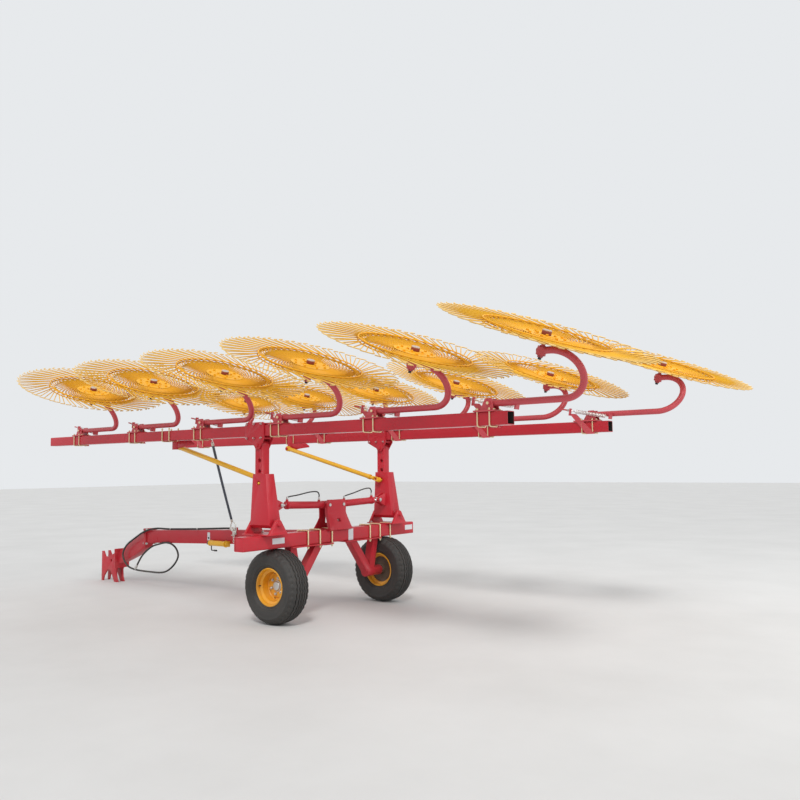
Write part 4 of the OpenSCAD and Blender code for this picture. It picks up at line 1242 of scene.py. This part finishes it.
class RAKE_OT_rims(bpy.types.Operator):
    """The two deep yellow rims with disc, hub, nuts and valve"""
    bl_idname = "rake.rims"
    bl_label = "Rims"

    def execute(self, context):
        well = RIM_R - 0.034
        bead = RIM_W / 2
        outer = both_sides([
            (RIM_R, bead - 0.002), (RIM_R + 0.0005, bead - 0.007), (RIM_R - 0.012, bead - 0.0125),
            (RIM_R - 0.0145, bead - 0.016), (RIM_R - 0.0145, bead - 0.034), (well, 0.042)])
        outer += both_sides([(RIM_R - 0.003, -bead), (RIM_R - 0.010, -bead), (RIM_R - 0.0165, -bead + 0.010),
                             (RIM_R - 0.019, -bead + 0.034), (well - 0.006, -0.046)])
        for label, side in SIDES.items():
            bm = bmesh.new()
            spun(bm, outer, 72)
            # Wheel disc deep in the rim: a dished plate with a raised bolt face
            disc = [(0.004, -0.036), (0.110, -0.036), (well - 0.005, -0.036), (well - 0.005, -0.029),
                    (well - 0.014, -0.0245), (0.112, -0.0265), (0.100, -0.0165), (0.094, -0.0142),
                    (0.004, -0.0142)]
            back = [f for f in spun(bm, disc, 72) if f.calc_center_median().z < -0.035]
            back += spun(bm, [(0.004, -0.075), (0.050, -0.075), (0.052, -0.072), (0.052, -0.030),
                              (0.004, -0.030)], 40)
            # Painted shadow: the disc's back face and the hub barrel take the near-black finish
            paint(back, 3)
            # Hub: barrel end, dust cap and its nut
            cap = [(0.0005, -0.020), (0.050, -0.020), (0.050, -0.008), (0.044, -0.006), (0.042, 0.0),
                   (0.036, 0.0045), (0.0005, 0.0055)]
            spun(bm, cap, 40, material=1)
            hexagon(bm, (0, 0, -0.006), (0, 0, 1), 0.034, 0.0118, 1)
            bolt_circle(bm, 6, 0.3, 0.074, -0.0142, 0.022, 0.006)
            # Slots round the disc, thin black patches for the painted shade seen through them, and the weld that
            # holds it
            for i in range(8):
                turn = Matrix.Rotation((i + 0.5) * math.pi / 4, 4, "Z")
                block(bm, (0.1165, -0.013, -0.0262), (0.1245, 0.013, -0.0250), 0.0, 2, turn)
            spun(bm, [(well - 0.0078, -0.0255), (well - 0.0128, -0.0245), (well - 0.0078, -0.0195)], 72)
            bar(bm, (RIM_R - 0.024, 0, 0.046), (RIM_R - 0.030, 0, 0.082), 0.0045, sides=10, bevel=0.001,
                material=2)
            bmesh.ops.transform(bm, matrix=wheel_matrix(side), verts=bm.verts)
            finish_piece("rim_steel_" + label, bm, "wheel_" + label,
                         ["rim yellow", "steel", "black", "rim back shade"], ["rim_" + label])
        return {"FINISHED"}


class RAKE_OT_springs(bpy.types.Operator):
    """The tension springs beside the arms, with hooks and a threaded rod"""
    bl_idname = "rake.springs"
    bl_label = "Springs"

    def execute(self, context):
        for label, side in SIDES.items():
            bm = bmesh.new()
            for xb in BRACKETS:
                y = side * (BEAM_Y - 0.062)
                a, b = at(xb + 0.150, y, ARM_Z + 0.042), at(xb - 0.215, y, ARM_Z - 0.030)
                run = (b - a).normalized()
                other = run.cross(LEFT)
                start, turns, r = 0.045, 21, 0.0155
                reach = (b - a).length - 0.035 - start
                points = []
                for k in range(turns * 9 + 1):
                    angle = 2 * math.pi * k / 9
                    wound = (LEFT * math.cos(angle) + other * math.sin(angle)) * r
                    points.append(a + run * (start + reach * k / (turns * 9)) + wound)
                tube(bm, points, 0.0034, sides=5)
                for point, way in ((a + run * 0.010, run), (b - run * 0.008, -run)):
                    hook = [point + way * along + LEFT * off for along, off in (
                        (0.036, r), (0.026, 0.7 * r), (0.018, 0), (0, -0.008), (-0.010, 0), (-0.002, 0.009),
                        (0.010, 0.004))]
                    tube(bm, hook, 0.0036, sides=6)
                # Setting rod in front, with two nuts
                bar(bm, a + run * 0.012, a - run * 0.100, 0.0068, sides=12, bevel=0.0012, material=2)
                hexagon(bm, a - run * 0.012, -run, 0.020, 0.011, 1)
                hexagon(bm, a - run * 0.026, -run, 0.020, 0.011, 1, 0.4)
            finish_piece("coil_springs_" + label, bm, "beam_" + label,
                         ["spring", "steel", "arm red sheen"], ["springs_" + label])
        return {"FINISHED"}


def u_bolt(bm, centre, half, wire, along, open_way, reach):
    """A U-bolt round a square tube; half is its bow's half width. It gives its two legs' places."""
    across = along.cross(open_way)
    bend = 0.012
    points = [centre + across * half + open_way * reach]
    for side in (1, -1):
        for k in range(4):
            angle = math.radians(90 * k / 3)
            out, deep = (math.cos(angle), math.sin(angle))[::side]
            place = centre + across * side * (half - bend + bend * out)
            points.append(place - open_way * (half - bend + bend * deep))
    points.append(centre - across * half + open_way * reach)
    tube(bm, points, wire)
    return [centre + across * half, centre - across * half]


class RAKE_OT_u_bolts(bpy.types.Operator):
    """The yellow-passivated U-bolts round the beams and the axle"""
    bl_idname = "rake.u_bolts"
    bl_label = "U-bolts"

    def execute(self, context):
        wire = 0.006
        for label, side in SIDES.items():
            bm = bmesh.new()
            for x in [xb + dx for xb in BRACKETS for dx in (-0.052, 0.052)] + [1.414, 1.530]:
                centre = at(x, side * BEAM_Y, BEAM_Z)
                half = BEAM_HALF + wire + 0.0005
                for leg in u_bolt(bm, centre, half, wire, FORWARD, UP, 0.078):
                    hexagon(bm, (leg.x, leg.y, BEAM_Z + BEAM_HALF + 0.0125), (0, 0, 1), 0.018, 0.009)
            finish_piece("beam_u_bolts_" + label, bm, "beam_" + label, ["gold"])
        bm = bmesh.new()
        for y in (0.435, 0.272, 0.104, -0.471, -0.633, -0.801):
            for leg in u_bolt(bm, at(0, y, AXLE_Z), AXLE_HALF + 0.0085, 0.008, LEFT, -UP, 0.098):
                hexagon(bm, (leg.x, leg.y, 0.6695), (0, 0, -1), 0.022, 0.011)
        finish_piece("axle_u_bolts", bm, "cart", ["gold"])
        return {"FINISHED"}


class RAKE_OT_fasteners(bpy.types.Operator):
    """Bolts of the drawbar's joint, the mast seats and the beams' clamps"""
    bl_idname = "rake.fasteners"
    bl_label = "Fasteners"

    def execute(self, context):
        cart = bmesh.new()
        # Flange bolts of the drawbar's joint
        z0 = AXLE_Z - 0.027 - (3.06 - 0.0633) * math.tan(math.radians(2.3))
        for y in (-0.066, 0.066):
            for dz in (-0.083, 0.083):
                bolt(cart, at(3.040, y, z0 + dz), (-1, 0, 0), 0.022, 0, stub=0.010)
                bolt(cart, at(3.0803, y, z0 + dz), (1, 0, 0), 0.022, 0)
        for side in (1, -1):
            for dx in (-0.14, 0.15):
                bolt(cart, at(0.03 + dx, side * 0.785, 0.818), (0, 0, 1), 0.022, 0)
        finish_piece("cart_bolts", cart, "cart", ["steel"])
        for label, side in SIDES.items():
            bm = bmesh.new()
            for dx in (-0.097, 0.0, 0.097):
                for z in (BEAM_Z + 0.063, BEAM_Z - 0.066):
                    for way in (1, -1):
                        y = side * BEAM_Y + way * (BEAM_HALF + 0.0133)
                        bolt(bm, at(0.12 + dx, y, z), (0, way, 0), 0.021, 0, washer=False, stub=0.006)
            finish_piece("clamp_bolts_" + label, bm, "beam_" + label, ["steel"])
        return {"FINISHED"}


class RAKE_OT_plates(bpy.types.Operator):
    """Bare foil plates on the axle beam and the drawbar"""
    bl_idname = "rake.plates"
    bl_label = "Bare plates"

    def execute(self, context):
        bm = bmesh.new()
        rear = -MID - AXLE_HALF
        for y, z, w, h in ((0.808, 0.750, 0.150, 0.052), (-0.180, 0.741, 0.072, 0.112),
                           (-1.136, 0.752, 0.130, 0.052)):
            block(bm, (rear - 0.0012, y - w / 2, z - h / 2), (rear + 0.0005, y + w / 2, z + h / 2), 0.0004,
                  segments=1)
        block(bm, at(1.846, 0.0545, 0.606), at(1.892, 0.0565, 0.696), 0.0006, segments=1)
        bar(bm, at(1.868, 0.0562, 0.634), at(1.868, 0.0572, 0.634), 0.0125, sides=20, material=1)
        finish_piece("bare_plates", bm, "cart", ["label", "black"])
        return {"FINISHED"}


class RAKE_OT_stage(bpy.types.Operator):
    """Pale floor, backdrop colour and soft light"""
    bl_idname = "rake.stage"
    bl_label = "Stage"

    def execute(self, context):
        bm = bmesh.new()
        bmesh.ops.create_grid(bm, x_segments=1, y_segments=1, size=60.0)
        mesh = bpy.data.meshes.new("floor")
        bm.to_mesh(mesh)
        bm.free()
        floor = bpy.data.objects.new("floor", mesh)
        context.scene.collection.objects.link(floor)
        made, g, shader = look("Pale floor")
        cloud = g.ramp(g.noise(g.place(), 0.8, 5.0, 0.6), 0.3, 0.75)
        g.feed(shader.inputs["Base Color"], g.mix(cloud, (0.60, 0.59, 0.57, 1.0), (0.66, 0.65, 0.63, 1.0)))
        shader.inputs["Roughness"].default_value = 0.75
        mesh.materials.append(made)

        # The camera, glossy and clear rays see a pale backdrop, and all others the sky's light
        world = bpy.data.worlds.new("Sky")
        context.scene.world = world
        world.use_nodes = True
        g = Graph(world.node_tree)
        sky = g.nodes["Background"]
        sky.inputs["Color"].default_value = (0.93, 0.96, 1.0, 1.0)
        sky.inputs["Strength"].default_value = settings().world_light
        seen = g.add("Background", Color=(0.80, 0.82, 0.84, 1.0), Strength=1.0)
        path = g.nodes.new("ShaderNodeLightPath").outputs
        shown = g.maths("MAXIMUM", path["Is Camera Ray"], path["Is Glossy Ray"])
        shown = g.maths("MAXIMUM", shown, path["Is Transmission Ray"])
        blend = g.nodes.new("ShaderNodeMixShader")
        for index, value in enumerate((shown, sky.outputs[0], seen.outputs[0])):
            g.feed(blend.inputs[index], value)
        g.feed(g.nodes["World Output"].inputs["Surface"], blend.outputs[0])

        for name, kind, energy, size, place, aim in (
                ("key", "SUN", 1.6, 12.0, (-6, 8, 12), (0, 0, 1)),
                ("fill", "AREA", 260.0, 6.0, (-9, -3, 6), (0, 0, 1.4))):
            data = bpy.data.lights.new(name, kind)
            data.energy = energy
            if kind == "SUN":
                data.angle = math.radians(size)
            else:
                data.size = size
            lamp = bpy.data.objects.new(name, data)
            context.scene.collection.objects.link(lamp)
            lamp.location = place
            lamp.rotation_euler = (Vector(aim) - Vector(place)).to_track_quat("-Z", "Y").to_euler()
        context.scene.view_settings.view_transform = "Standard"
        return {"FINISHED"}


class RAKE_PT_panel(bpy.types.Panel):
    """Sizes, colours and pieces of the hay rake"""
    bl_idname = "RAKE_PT_panel"
    bl_label = "Hay rake"
    bl_space_type = "VIEW_3D"
    bl_region_type = "UI"
    bl_category = "Hay rake"

    def draw(self, context):
        sizes = context.scene.rake_settings
        for name in RakeSettings.__annotations__:
            self.layout.prop(sizes, name)
        for step in STEPS:
            self.layout.operator(step.bl_idname)


STEPS = (RAKE_OT_camera, RAKE_OT_finishes, RAKE_OT_hose, RAKE_OT_beams, RAKE_OT_frame_parts,
         RAKE_OT_centre_bracket,
         RAKE_OT_struts, RAKE_OT_cylinders, RAKE_OT_stay, RAKE_OT_jack, RAKE_OT_tined_wheels,
         RAKE_OT_arm_fittings,
         RAKE_OT_tyres, RAKE_OT_rims, RAKE_OT_springs, RAKE_OT_u_bolts, RAKE_OT_fasteners, RAKE_OT_plates,
         RAKE_OT_stage)
CLASSES = (RakeSettings, *STEPS, RAKE_PT_panel)


def register():
    for made in CLASSES:
        bpy.utils.register_class(made)
    bpy.types.Scene.rake_settings = PointerProperty(type=RakeSettings)


def unregister():
    del bpy.types.Scene.rake_settings
    for made in reversed(CLASSES):
        bpy.utils.unregister_class(made)


def main():
    register()
    for step in STEPS:
        area, name = step.bl_idname.split(".")
        getattr(getattr(bpy.ops, area), name)()


if __name__ == "__main__":
    main()
